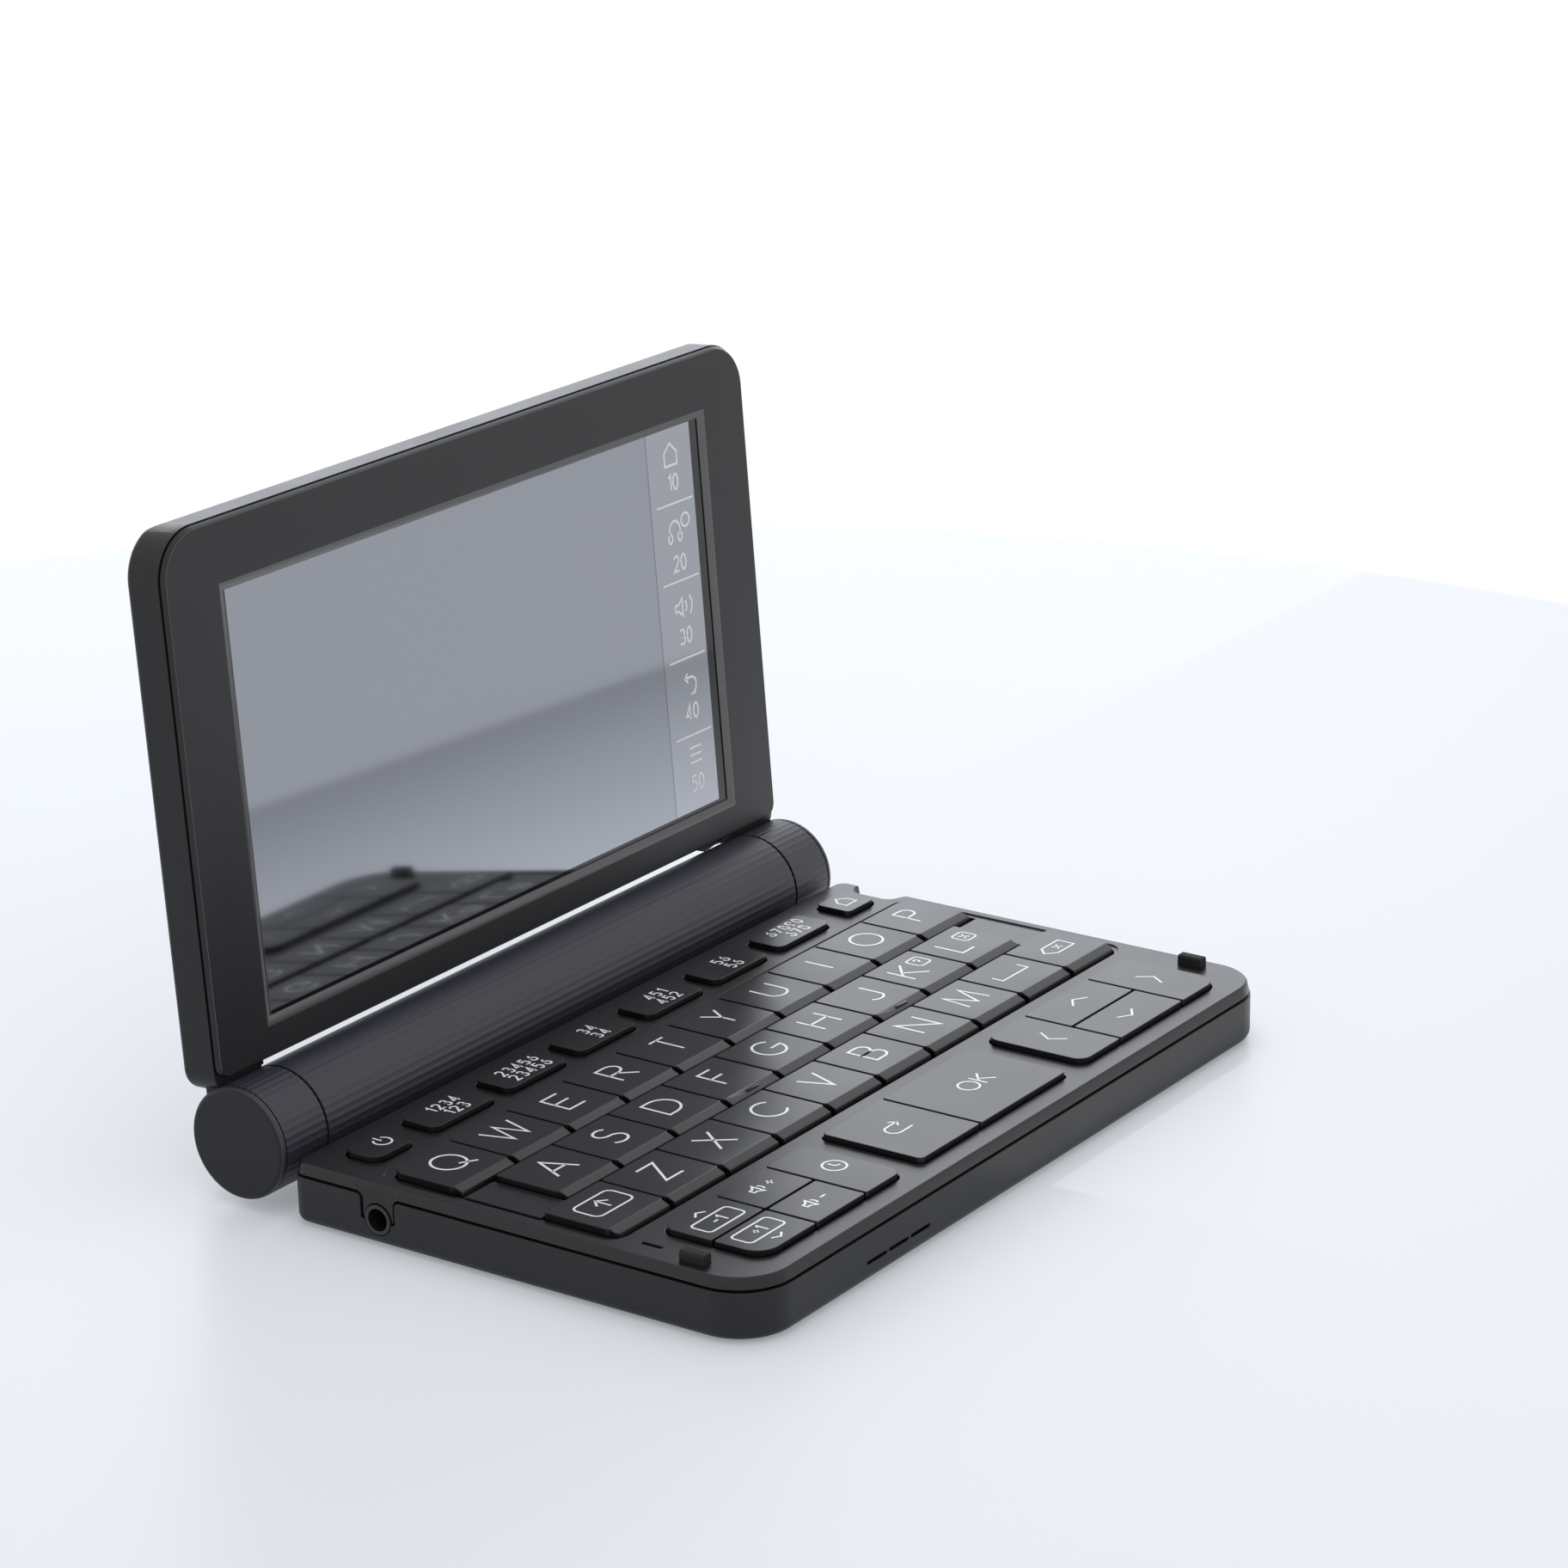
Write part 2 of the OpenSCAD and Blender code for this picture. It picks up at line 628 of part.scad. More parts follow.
module main_board() {
    color("#1f5a3a") union() {
        difference() {
            translate([0, 0, board_z]) linear_extrude(board_t)
                plan(-board_side, board_right, deck_y - board_rear, deck_y - board_front,
                     [1, 1, board_corner, board_corner]);
            screw_posts(board_z - through, board_z + board_t + through, post_r + post_clear);
            translate([-case_w / 2, jack_y - jack_body / 2, board_z - through])
                cube([jack_l - through, jack_body, board_t + 2 * through]);
        }
        // earphone socket soldered into the board's edge
        difference() {
            union() {
                translate([-case_w / 2, jack_y, jack_z]) rotate([0, 90, 0])
                    cylinder(h = jack_ring_l, r = jack_ring_r);
                translate([-case_w / 2 + jack_body_x, jack_y - jack_body / 2, jack_z - jack_body_low])
                    cube([jack_l - jack_body_x, jack_body, 2 * jack_body_low]);
            }
            translate([-case_w / 2 - through, jack_y, jack_z]) rotate([0, 90, 0])
                cylinder(h = jack_l - jack_end + through, r = jack_r);
        }
    }
}

dome_r = 2.6;

module key_mat() {
    color("#5a5a60") union() {
        difference() {
            translate([0, 0, board_z + board_t]) linear_extrude(mat_t)
                plan(-board_side, board_right, deck_y - board_rear, deck_y - board_front,
                     [1, 1, board_corner, board_corner]);
            screw_posts(board_z, dome_top, post_r + post_clear);
            translate([-case_w / 2, jack_y - jack_body / 2 - mat_clear, board_z])
                cube([jack_l + mat_clear, jack_body + 2 * mat_clear, board_t + mat_t + through]);
        }
        for (key = all_keys)
            translate([(key[1] + key[2]) / 2, (key[3] + key[4]) / 2, board_z + board_t + mat_t / 2])
                cylinder(h = mat_t / 2 + dome_h, r = dome_r);
    }
}

// Section of a lid bumper, with its two upper edges broken
module bumper_section(h) {
    half = bumper_w / 2;
    polygon([[-half, 0], [half, 0], [half, h - bumper_ease], [half - bumper_ease, h],
             [bumper_ease - half, h], [-half, h - bumper_ease]]);
}

module rubber_pads() {
    color("#17171a") {
        for (side = [-1, 1]) translate([side * bumper_x, deck_y - bumper_back, deck_z - bumper_sunk])
            rotate([90, 0, 0]) translate([0, 0, -bumper_l / 2]) linear_extrude(bumper_l)
                bumper_section(bumper_h + bumper_sunk);
        for (side = [-1, 1]) for (back = [foot_rear, foot_front])
            translate([side * foot_x, deck_y - back, 0]) cylinder(h = foot_h + foot_sunk, r = foot_r);
    }
}

// ---- Barrel and batteries ----

barrel_x = case_w / 2 - sleeve_l - sleeve_gap;
cover_dir = 300;
cover_split = 3;
cover_wall = 1.5;
cover_gap = 0.1;
pin_seat = (barrel_x - bay_l / 2) / 2;
pin_wall = 4;
pin_out = sleeve_gap + sleeve_l - pin_wall;
grip_r = 0.35;
grip_l = 10;
grip_step = 1.6;

// Half space on the cover's side of the barrel, from the split out; Y leaves the barrel there
module cover_side(half_l, split) {
    rotate([cover_dir, 0, 0]) translate([-half_l, split, -barrel_r - through])
        cube([2 * half_l, barrel_r + 2 * through, 2 * (barrel_r + through)]);
}

module barrel() {
    color("#2a2a2f") at_axis() difference() {
        fluted_rod(-barrel_x, barrel_x, slot_strip);
        // bay for the cells, with a straight mouth that lets them out
        rotate([cover_dir, 0, 0]) rotate([90, 0, 90]) translate([0, 0, -bay_l / 2]) linear_extrude(bay_l) {
            circle(cell_bay_r);
            translate([0, -mouth_r]) square([barrel_r + through, 2 * mouth_r]);
        }
        cover_side(cover_l / 2, cover_split);
        for (side = [0, 1]) mirror([side, 0, 0]) rod(barrel_x - pin_seat, barrel_x + through, pin_r);
    }
}

module battery_cover() {
    color("#2a2a2f") at_axis() difference() {
        intersection() {
            fluted_rod(-cover_l / 2 + cover_gap, cover_l / 2 - cover_gap, no_strip);
            cover_side(cover_l / 2, cover_split + cover_gap);
        }
        rod(-bay_l / 2, bay_l / 2, cell_bay_r + cover_gap);
        // finger grip
        for (i = [-2:2]) rotate([cover_dir, 0, 0]) translate([i * grip_step, barrel_r, -grip_l / 2])
            cylinder(h = grip_l, r = grip_r);
    }
}

terminal_r = 2.75;
terminal_l = 1;
cell_touch = 0.05;

module battery_cells() {
    color("#b9bcc2") at_axis() for (x = [-cell_l, 0]) {
        rod(x, x + cell_l - terminal_l, cell_r);
        rod(x + cell_l - terminal_l, x + cell_l - cell_touch, terminal_r);
    }
}

module hinge_pins() {
    color("#8f9297") at_axis() for (side = [0, 1]) mirror([side, 0, 0])
        rod(barrel_x - pin_seat, barrel_x + pin_out, pin_r);
}

// ---- Lid ----

lid_low_r = 3.7;
back_z = -bezel_set - lid_t;
bezel_z = -bezel_set - bezel_t;
edge_low = barrel_r + slot_gap;
arm_low = 7;
sleeve_x = case_w / 2 - sleeve_l;
slot_right = sleeve_x - 5.7;
rib_right = slot_right + 1.4;
cap_t = 1.1;
cap_round = 0.8;
cap_groove = 0.25;
arm_deep = 3;
arm_start = barrel_r - 3.2;
arm_l = 5.4;

// Outer end cap of a sleeve, a disc with a soft edge
module sleeve_cap() {
    translate([case_w / 2 - cap_t, 0, 0]) rotate([0, 90, 0]) rotate_extrude() {
        square([barrel_r - cap_round, cap_t]);
        square([barrel_r, cap_t - cap_round]);
        intersection() {
            translate([barrel_r - cap_round, cap_t - cap_round]) circle(cap_round);
            translate([barrel_r - cap_round, cap_t - cap_round]) square(cap_round);
        }
    }
}

module sleeve() {
    difference() {
        union() {
            fluted_rod(sleeve_x, case_w / 2 - cap_t - cap_groove, no_strip);
            rod(case_w / 2 - cap_t - cap_groove - through / 2, case_w / 2 - cap_t + through / 4,
                barrel_r - 2 * cap_groove);
            sleeve_cap();
        }
        rod(sleeve_x - through, barrel_x + pin_out + fit_gap, pin_r + pin_clear);
    }
}

module lid_back() {
    h = lid_t - bezel_t - lid_seam;
    color("#2b2b30") at_lid() {
        difference() {
            translate([0, 0, back_z])
                moulded(case_w, arm_low, lid_top, lid_low_r, lid_r, h)
                    round_section($reach, h, min(lid_round, $reach - 0.5));
            // larger rounding along the top of the back
            translate([0, lid_top - brow_r, back_z + brow_r]) rotate([90, 0, 90])
                translate([0, 0, -case_w / 2 - through]) linear_extrude(case_w + 2 * through) difference() {
                    translate([0, -brow_r - through]) square(brow_r + through);
                    circle(brow_r);
                }
            // hollow for the display
            translate([0, 0, back_z + wall]) linear_extrude(lid_t)
                plan(-case_w / 2 + wall, case_w / 2 - wall, lid_top - wall, edge_low + wall,
                     [lid_r - wall, lid_r - wall, 1, 1]);
            // slot over the barrel, with a rib and a small window at its right end
            translate([-sleeve_x + sleeve_gap, 0, back_z - through])
                cube([slot_right + sleeve_x - sleeve_gap, edge_low, lid_t + 2 * through]);
            translate([rib_right, 0, back_z - through])
                cube([sleeve_x - sleeve_gap - rib_right, edge_low, lid_t + 2 * through]);
            rod(-sleeve_x, sleeve_x, barrel_r + slot_gap / 2);
            rod(sleeve_x - through, case_w / 2 + through, barrel_r - 1);
            rod(-case_w / 2 - through, -sleeve_x + through, barrel_r - 1);
        }
        for (side = [0, 1]) mirror([side, 0, 0]) {
            sleeve();
            // arm from the sleeve into the shell
            translate([sleeve_x, arm_start, bezel_z - lid_seam - arm_deep])
                cube([sleeve_l - cap_t, arm_l, arm_deep]);
        }
    }
}

glass_w = case_w - 2 * bezel_side;
glass_h = lid_top - glass_low - bezel_top;
bezel_lip = 1.4;

module lid_bezel() {
    w = case_w - 2 * deck_inset;
    color("#222226") at_lid() difference() {
        union() {
            translate([0, 0, bezel_z])
                moulded(w, edge_low, lid_top - deck_inset, rear_r, lid_r - deck_inset, bezel_t)
                    lean_section($reach, bezel_t, bezel_lean, bezel_bevel);
            // lip inside the lid's wall
            difference() {
                lid_ring(wall + fit_gap, bezel_z - bezel_lip, bezel_lip + bezel_t / 2);
                lid_ring(wall + fit_gap + lip_t, bezel_z - bezel_lip - through, bezel_lip + bezel_t + through);
            }
        }
        // window with a sloped frame
        glass_window();
    }
}

module lid_ring(inset, z0, h) {
    translate([0, 0, z0]) linear_extrude(h)
        plan(-case_w / 2 + inset, case_w / 2 - inset, lid_top - inset, edge_low + inset,
             [lid_r - inset, lid_r - inset, 1, 1]);
}

// Pyramid-shaped cut for the window: four slopes that meet at the glass
module glass_window() {
    top = glass_low + glass_h;
    run = frame_slope / glass_deep;
    above = 0.5;
    intersection() {
        translate([0, glass_low - frame_slope - above * run, 0]) rotate([90, 0, 90])
            translate([0, 0, -case_w / 2]) linear_extrude(case_w)
                window_section(glass_h, above, run);
        rotate([90, 0, 0]) translate([0, 0, -lid_top - 10])
            linear_extrude(lid_top + 20) translate([-glass_w / 2 - frame_slope - above * run, 0])
                window_section(glass_w, above, run);
    }
}

// Section of the window cut: straight through the bezel, then flaring to its face
module window_section(size, above, run) {
    flare = frame_slope + above * run;
    face = -bezel_set;
    polygon([[flare, face - bezel_t - 3], [flare + size, face - bezel_t - 3], [flare + size, face - glass_deep],
             [2 * flare + size, face + above], [0, face + above], [flare, face - glass_deep]]);
}

glass_edge = 2;
panel_inset = 1;

module display() {
    face = -bezel_set - bezel_t;
    color("#3c4148") at_lid() {
        // cover glass, behind the bezel
        translate([-glass_w / 2 - glass_edge, glass_low - glass_edge, face - glass_t])
            cube([glass_w + 2 * glass_edge, glass_h + 2 * glass_edge, glass_t]);
        translate([-glass_w / 2 - panel_inset, glass_low - panel_inset, face - glass_t - panel_t])
            cube([glass_w + 2 * panel_inset, glass_h + 2 * panel_inset, panel_t]);
    }
}

// ---- Keys ----

// Key with a flat top and straight sides
module flat_key(key) {
    color("#1d1d20") translate([0, 0, key_foot]) linear_extrude(key_h)
        plan(key[1], key[2], key[3], key[4], key[5]);
}

corner_cut_w = 0.4;
corner_cut_d = 2.2;
lip_drop = 1.2;
bar_w = 3;
bar_d = 0.5;
bar_h = 0.25;

// Letter key: flat top, front slope, steep lip, and slope ends cut back
module letter_key(key) {
    rear = key[3];
    front = key[4];
    crease = rear - letter_flat;
    foot = crease - slope_d;
    color("#1d1d20") union() {
        intersection() {
            translate([key[1], 0, key_foot]) rotate([90, 0, 90]) linear_extrude(key[2] - key[1])
                polygon([[front, 0], [rear, 0], [rear, key_h], [crease, key_h], [foot, key_h - slope_h],
                         [front, key_h - slope_h - lip_drop]]);
            translate([0, 0, key_foot - through]) linear_extrude(key_h + 2 * through) difference() {
                plan(key[1], key[2], rear, front, key[5]);
                for (side = [0, 1]) translate([side == 0 ? key[1] : key[2], front]) mirror([side, 0])
                    polygon([[-through, -through], [corner_cut_w, -through],
                             [corner_cut_w, corner_cut_d - corner_cut_w], [-through, corner_cut_d + through]]);
            }
        }
        // homing bar on the slope of the two index-finger keys
        if (key[0] == "key_f" || key[0] == "key_j")
            translate([(key[1] + key[2]) / 2 - bar_w / 2, crease - bar_d * 2, key_foot + key_h - slope_h])
                cube([bar_w, bar_d, slope_h - 0.05]);
    }
}

lower_case();
upper_case();
main_board();
key_mat();
rubber_pads();
barrel();
hinge_pins();
battery_cells();
battery_cover();
lid_back();
lid_bezel();
display();
for (key = flat_keys) flat_key(key);
for (key = letter_keys) letter_key(key);
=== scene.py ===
import json
import math

import bmesh
import bpy
from mathutils import Matrix, Vector

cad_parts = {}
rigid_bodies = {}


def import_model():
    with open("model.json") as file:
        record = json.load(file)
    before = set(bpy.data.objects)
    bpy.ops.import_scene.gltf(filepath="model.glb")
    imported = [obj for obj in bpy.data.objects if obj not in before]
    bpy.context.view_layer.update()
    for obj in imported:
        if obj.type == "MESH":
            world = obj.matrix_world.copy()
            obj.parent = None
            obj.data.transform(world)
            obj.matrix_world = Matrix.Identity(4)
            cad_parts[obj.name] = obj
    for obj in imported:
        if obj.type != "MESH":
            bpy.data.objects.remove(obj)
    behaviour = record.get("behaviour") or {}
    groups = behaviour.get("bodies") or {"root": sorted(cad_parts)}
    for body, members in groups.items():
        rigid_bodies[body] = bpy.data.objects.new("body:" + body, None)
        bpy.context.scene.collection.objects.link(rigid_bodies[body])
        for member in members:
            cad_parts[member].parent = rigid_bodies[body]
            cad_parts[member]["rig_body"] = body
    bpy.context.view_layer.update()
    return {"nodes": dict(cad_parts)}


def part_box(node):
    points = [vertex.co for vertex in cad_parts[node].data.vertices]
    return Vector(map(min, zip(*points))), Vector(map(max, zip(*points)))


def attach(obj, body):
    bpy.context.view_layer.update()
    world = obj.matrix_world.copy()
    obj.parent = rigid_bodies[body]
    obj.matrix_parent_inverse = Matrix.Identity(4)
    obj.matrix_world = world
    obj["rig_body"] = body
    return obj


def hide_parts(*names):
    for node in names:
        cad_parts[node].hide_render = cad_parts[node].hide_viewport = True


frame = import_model()
mm = 0.001

# ---- Camera ----
# A long lens to the left of the user, a little over the top of the open lid. Its place and turn come
# from the photograph, for a frame of 36 mm on its long side.
def new_object(name, data):
    made = bpy.data.objects.new(name, data)
    bpy.context.scene.collection.objects.link(made)
    return made


camera_data = bpy.data.cameras.new("camera")
camera_data.sensor_width = 36.0
camera_data.lens = 109.5
camera_data.clip_start = 0.01
camera_data.clip_end = 50.0
camera = new_object("camera", camera_data)
camera.location = (-0.57433, -0.41394, 0.29224)
camera.rotation_euler = [math.radians(turn) for turn in (71.405, 0.997, -55.268)]
bpy.context.scene.camera = camera
bpy.context.scene.view_settings.view_transform = "Standard"


# ---- Round table ----
# The object stands on a pale, faintly glossy round table top of milky acrylic, lit softly from below,
# in front of a white backdrop. The backdrop is the world, white wherever the camera or a reflection
# sees it.
def new_material(name):
    material = bpy.data.materials.new(name)
    material.use_nodes = True
    tree = material.node_tree
    return material, tree.nodes, tree.links, tree.nodes["Principled BSDF"]


# Nodes whose inputs are numbers or other nodes' sockets.
def math_node(nodes, links, operation, first, second):
    made = nodes.new("ShaderNodeMath")
    made.operation = operation
    for socket, value in zip(made.inputs, (first, second)):
        if isinstance(value, float):
            socket.default_value = value
        else:
            links.new(value, socket)
    return made.outputs[0]


def map_range(nodes, links, value, from_low, from_high, to_low=0.0, to_high=1.0):
    made = nodes.new("ShaderNodeMapRange")
    made.inputs["From Min"].default_value = from_low
    made.inputs["From Max"].default_value = from_high
    made.inputs["To Min"].default_value = to_low
    made.inputs["To Max"].default_value = to_high
    links.new(value, made.inputs["Value"])
    return made.outputs["Result"]


table_radius = 0.351
table_centre = Vector((-0.026, 0.0341, 0.0))
table_thick = 0.008
table_colour = (0.58, 0.6, 0.64, 1.0)
table_glow = (0.9, 0.95, 1.0, 1.0)

work = bmesh.new()
bmesh.ops.create_circle(work, cap_ends=True, segments=256, radius=table_radius)
rim = bmesh.ops.extrude_face_region(work, geom=work.faces[:])
bmesh.ops.translate(work, verts=[v for v in rim["geom"] if isinstance(v, bmesh.types.BMVert)],
                    vec=(0.0, 0.0, -table_thick))
bmesh.ops.recalc_face_normals(work, faces=work.faces[:])
bmesh.ops.translate(work, verts=work.verts[:], vec=table_centre)
table_mesh = bpy.data.meshes.new("table_top")
work.to_mesh(table_mesh)
work.free()
table = new_object("table_top", table_mesh)
table_finish, nodes, links, shader = new_material("table_acrylic")
shader.inputs["Base Color"].default_value = table_colour
shader.inputs["Roughness"].default_value = 0.35
shader.inputs["Specular IOR Level"].default_value = 0.12
shader.inputs["Emission Color"].default_value = table_glow
shader.inputs["Emission Strength"].default_value = 0.25
table_mesh.materials.append(table_finish)

world = bpy.data.worlds.new("white_room")
bpy.context.scene.world = world
world.use_nodes = True
nodes, links = world.node_tree.nodes, world.node_tree.links
nodes.clear()
soft_fill = 0.62
path = nodes.new("ShaderNodeLightPath")
seen = math_node(nodes, links, "MAXIMUM", path.outputs["Is Camera Ray"], path.outputs["Is Glossy Ray"])
seen = math_node(nodes, links, "MAXIMUM", seen, path.outputs["Is Transmission Ray"])
strength = map_range(nodes, links, seen, 0.0, 1.0, soft_fill, 1.0)
background = nodes.new("ShaderNodeBackground")
background.inputs["Color"].default_value = (1.0, 1.0, 1.0, 1.0)
links.new(strength, background.inputs["Strength"])
world_out = nodes.new("ShaderNodeOutputWorld")
links.new(background.outputs["Background"], world_out.inputs["Surface"])


# ---- Soft lights ----
# One wide soft light overhead and a weaker one from the front left, both plain white. Flat cards that
# only reflections see stand for the studio: the lit backdrop behind the right side, brighter than white,
# and the table in front of the screen, greyer past an edge and bright beside the object.
def soft_light(name, place, aim, size, watts):
    data = bpy.data.lights.new(name, "AREA")
    data.shape = "SQUARE"
    data.size = size
    data.energy = watts
    light = new_object(name, data)
    light.location = place
    light.rotation_euler = (Vector(aim) - Vector(place)).to_track_quat("-Z", "Y").to_euler()
    light.visible_camera = False
    light.visible_glossy = False


def reflection_card(name, corners, colour, glow):
    work = bmesh.new()
    work.faces.new([work.verts.new(corner) for corner in corners])
    mesh = bpy.data.meshes.new(name)
    work.to_mesh(mesh)
    work.free()
    card = new_object(name, mesh)
    paint, nodes, links, shader = new_material(name)
    shader.inputs["Base Color"].default_value = (0.0, 0.0, 0.0, 1.0)
    shader.inputs["Specular IOR Level"].default_value = 0.0
    shader.inputs["Emission Color"].default_value = colour
    shader.inputs["Emission Strength"].default_value = glow
    mesh.materials.append(paint)
    card.visible_camera = False
    card.visible_diffuse = False
    card.visible_shadow = False
    card.visible_transmission = False
    return nodes, links, shader


soft_light("overhead", (0.15, 0.1, 1.2), (0.0, 0.0, 0.0), 0.9, 4.5)
soft_light("front_left", (-0.7, -0.9, 0.7), (0.0, 0.0, 0.05), 0.6, 1.5)

glow_centre, glow_wide, glow_high = Vector((0.95, 0.66, 0.42)), 1.1, 0.9
glow_turn = (Vector((0.0, 0.0, 0.01)) - glow_centre).to_track_quat("Z", "Y")
glow_corners = [glow_centre + glow_turn @ Vector((x * glow_wide / 2, y * glow_high / 2, 0.0))
                for x, y in ((-1, -1), (1, -1), (1, 1), (-1, 1))]
reflection_card("backdrop_glow", glow_corners, (0.91, 0.94, 1.0, 1.0), 2.65)

# Both table cards lie just over the table top and meet in a slanting edge. The near one ends at the
# object's right side and front.
card_rise, front_end, far_right = 0.0001, -0.7, 0.6
band_slope, band_edge, band_end = 0.2, -0.193, -0.035
band_right, band_back, edge_glow, end_glow = 0.4, 0.06, 0.66, 1.4
side_x, side_y = 0.0765, -0.0595
bright_corners = [(x, edge + band_slope * x, card_rise)
                  for x, edge in ((0.0, front_end), (far_right, front_end), (far_right, band_edge),
                                  (0.0, band_edge))]
reflection_card("table_bright", bright_corners, (0.97, 0.985, 1.0, 1.0), 1.0)
band_corners = [(x, y, card_rise)
                for x, y in ((0.0, band_edge), (band_right, band_edge + band_right * band_slope),
                             (band_right, band_back), (side_x, band_back), (side_x, side_y), (0.0, side_y))]
nodes, links, shader = reflection_card("table_band", band_corners, (0.95, 0.975, 1.0, 1.0), 1.0)
spot = nodes.new("ShaderNodeTexCoord")
along = nodes.new("ShaderNodeVectorMath")
along.operation = "DOT_PRODUCT"
along.inputs[1].default_value = (-band_slope, 1.0, 0.0)
links.new(spot.outputs["Object"], along.inputs[0])
rise = map_range(nodes, links, along.outputs["Value"], band_edge, band_end, edge_glow, end_glow)
links.new(rise, shader.inputs["Emission Strength"])


# ---- Lower case ----
# Injection-moulded tray in near-black plastic with a fine spark-eroded grain. The same grain is on
# every cover, so it is a group here and each material sets its own scale and depth.
def grain_group():
    group = bpy.data.node_groups.new("moulded_grain", "ShaderNodeTree")
    for name, way, kind in (("Colour", "INPUT", "Color"), ("Roughness", "INPUT", "Float"),
                            ("Scale", "INPUT", "Float"), ("Depth", "INPUT", "Float"),
                            ("Mottle", "INPUT", "Float"), ("Colour", "OUTPUT", "Color"),
                            ("Roughness", "OUTPUT", "Float"), ("Normal", "OUTPUT", "Vector")):
        group.interface.new_socket(name, in_out=way, socket_type="NodeSocket" + kind)
    nodes, links = group.nodes, group.links
    given = nodes.new("NodeGroupInput").outputs
    made = nodes.new("NodeGroupOutput").inputs
    place = nodes.new("ShaderNodeTexCoord")
    grain = nodes.new("ShaderNodeTexNoise")
    grain.inputs["Detail"].default_value = 3.0
    links.new(place.outputs["Object"], grain.inputs["Vector"])
    links.new(given["Scale"], grain.inputs["Scale"])
    bump = nodes.new("ShaderNodeBump")
    bump.inputs["Distance"].default_value = 1.0
    height = math_node(nodes, links, "MULTIPLY", grain.outputs["Fac"], given["Depth"])
    links.new(height, bump.inputs["Height"])
    links.new(bump.outputs["Normal"], made["Normal"])
    clouds = nodes.new("ShaderNodeTexNoise")
    clouds.inputs["Scale"].default_value = 60.0
    clouds.inputs["Detail"].default_value = 5.0
    links.new(place.outputs["Object"], clouds.inputs["Vector"])
    spread = math_node(nodes, links, "SUBTRACT", clouds.outputs["Fac"], 0.5)
    share = math_node(nodes, links, "MULTIPLY", spread, given["Mottle"])
    links.new(math_node(nodes, links, "ADD", given["Roughness"], share), made["Roughness"])
    tint = nodes.new("ShaderNodeVectorMath")
    tint.operation = "SCALE"
    links.new(given["Colour"], tint.inputs[0])
    links.new(math_node(nodes, links, "ADD", share, 1.0), tint.inputs["Scale"])
    links.new(tint.outputs["Vector"], made["Colour"])
    return group


moulded_grain = grain_group()


def moulded(name, colour, roughness, scale=9000.0, depth=4e-6, mottle=0.12, ior_level=0.5):
    material, nodes, links, shader = new_material(name)
    grain = nodes.new("ShaderNodeGroup")
    grain.node_tree = moulded_grain
    for wanted, value in (("Colour", (*colour, 1.0)), ("Roughness", roughness), ("Scale", scale),
                          ("Depth", depth), ("Mottle", mottle)):
        grain.inputs[wanted].default_value = value
    for made, wanted in (("Colour", "Base Color"), ("Roughness", "Roughness"), ("Normal", "Normal")):
        links.new(grain.outputs[made], shader.inputs[wanted])
    shader.inputs["Specular IOR Level"].default_value = ior_level
    return material


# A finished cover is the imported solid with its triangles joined, its sharp edges eased as a mould
# leaves them and its round faces shaded smooth. A second material goes on the faces that is_second picks
# by their centre in millimetres and their normal.
weld = 2e-6
flat_angle = 0.3


def finished(node, material, ease=0.0, steps=2, smooth=42.0, second=None, is_second=None):
    source = frame["nodes"][node]
    mesh = bpy.data.meshes.new(node + "_finish")
    work = bmesh.new()
    work.from_mesh(source.data)
    bmesh.ops.remove_doubles(work, verts=work.verts[:], dist=weld)
    bmesh.ops.dissolve_limit(work, angle_limit=math.radians(flat_angle), verts=work.verts[:],
                             edges=work.edges[:])
    if ease:
        sharp = [e for e in work.edges
                 if len(e.link_faces) == 2 and e.calc_face_angle(0.0) > math.radians(smooth)]
        bmesh.ops.bevel(work, geom=sharp, offset=ease, offset_type="OFFSET", segments=steps, profile=0.5,
                        affect="EDGES", clamp_overlap=False, material=-1)
    work.to_mesh(mesh)
    work.free()
    mesh.materials.clear()
    mesh.materials.append(material)
    if second:
        mesh.materials.append(second)
        for face in mesh.polygons:
            face.material_index = int(is_second(face.center / mm, face.normal))
    mesh.shade_smooth()
    mesh.set_sharp_from_angle(angle=math.radians(smooth))
    piece = new_object(node + "_finish", mesh)
    level = piece.modifiers.new("level_normals", "WEIGHTED_NORMAL")
    level.keep_sharp = True
    level.weight = 50
    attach(piece, source["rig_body"])
    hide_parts(node)
    return piece


case_plastic = moulded("case_plastic", (0.009, 0.009, 0.0105), 0.42, scale=4000.0, depth=8e-6,
                       ior_level=0.36)
lower_case = finished("lower_case", case_plastic, ease=0.12 * mm)

# ---- Upper case ----
# The deck plate over the keyboard, in the same plastic with a slightly finer grain. Its openings and
# its rim have a small moulded edge that catches the light.
deck_plastic = moulded("deck_plastic", (0.007, 0.007, 0.0085), 0.32, scale=4500.0, depth=5e-6,
                       ior_level=0.4)
upper_case = finished("upper_case", deck_plastic, ease=0.12 * mm)

# ---- Rubber pads ----
# Two bumpers that keep the closed lid off the deck, and four feet. All are moulded in matt black rubber
# and pressed or glued into their seats.
rubber = moulded("pad_rubber", (0.012, 0.012, 0.0125), 0.75, scale=5000.0, depth=8e-6, ior_level=0.35)
rubber_pads = finished("rubber_pads", rubber, ease=0.15 * mm)

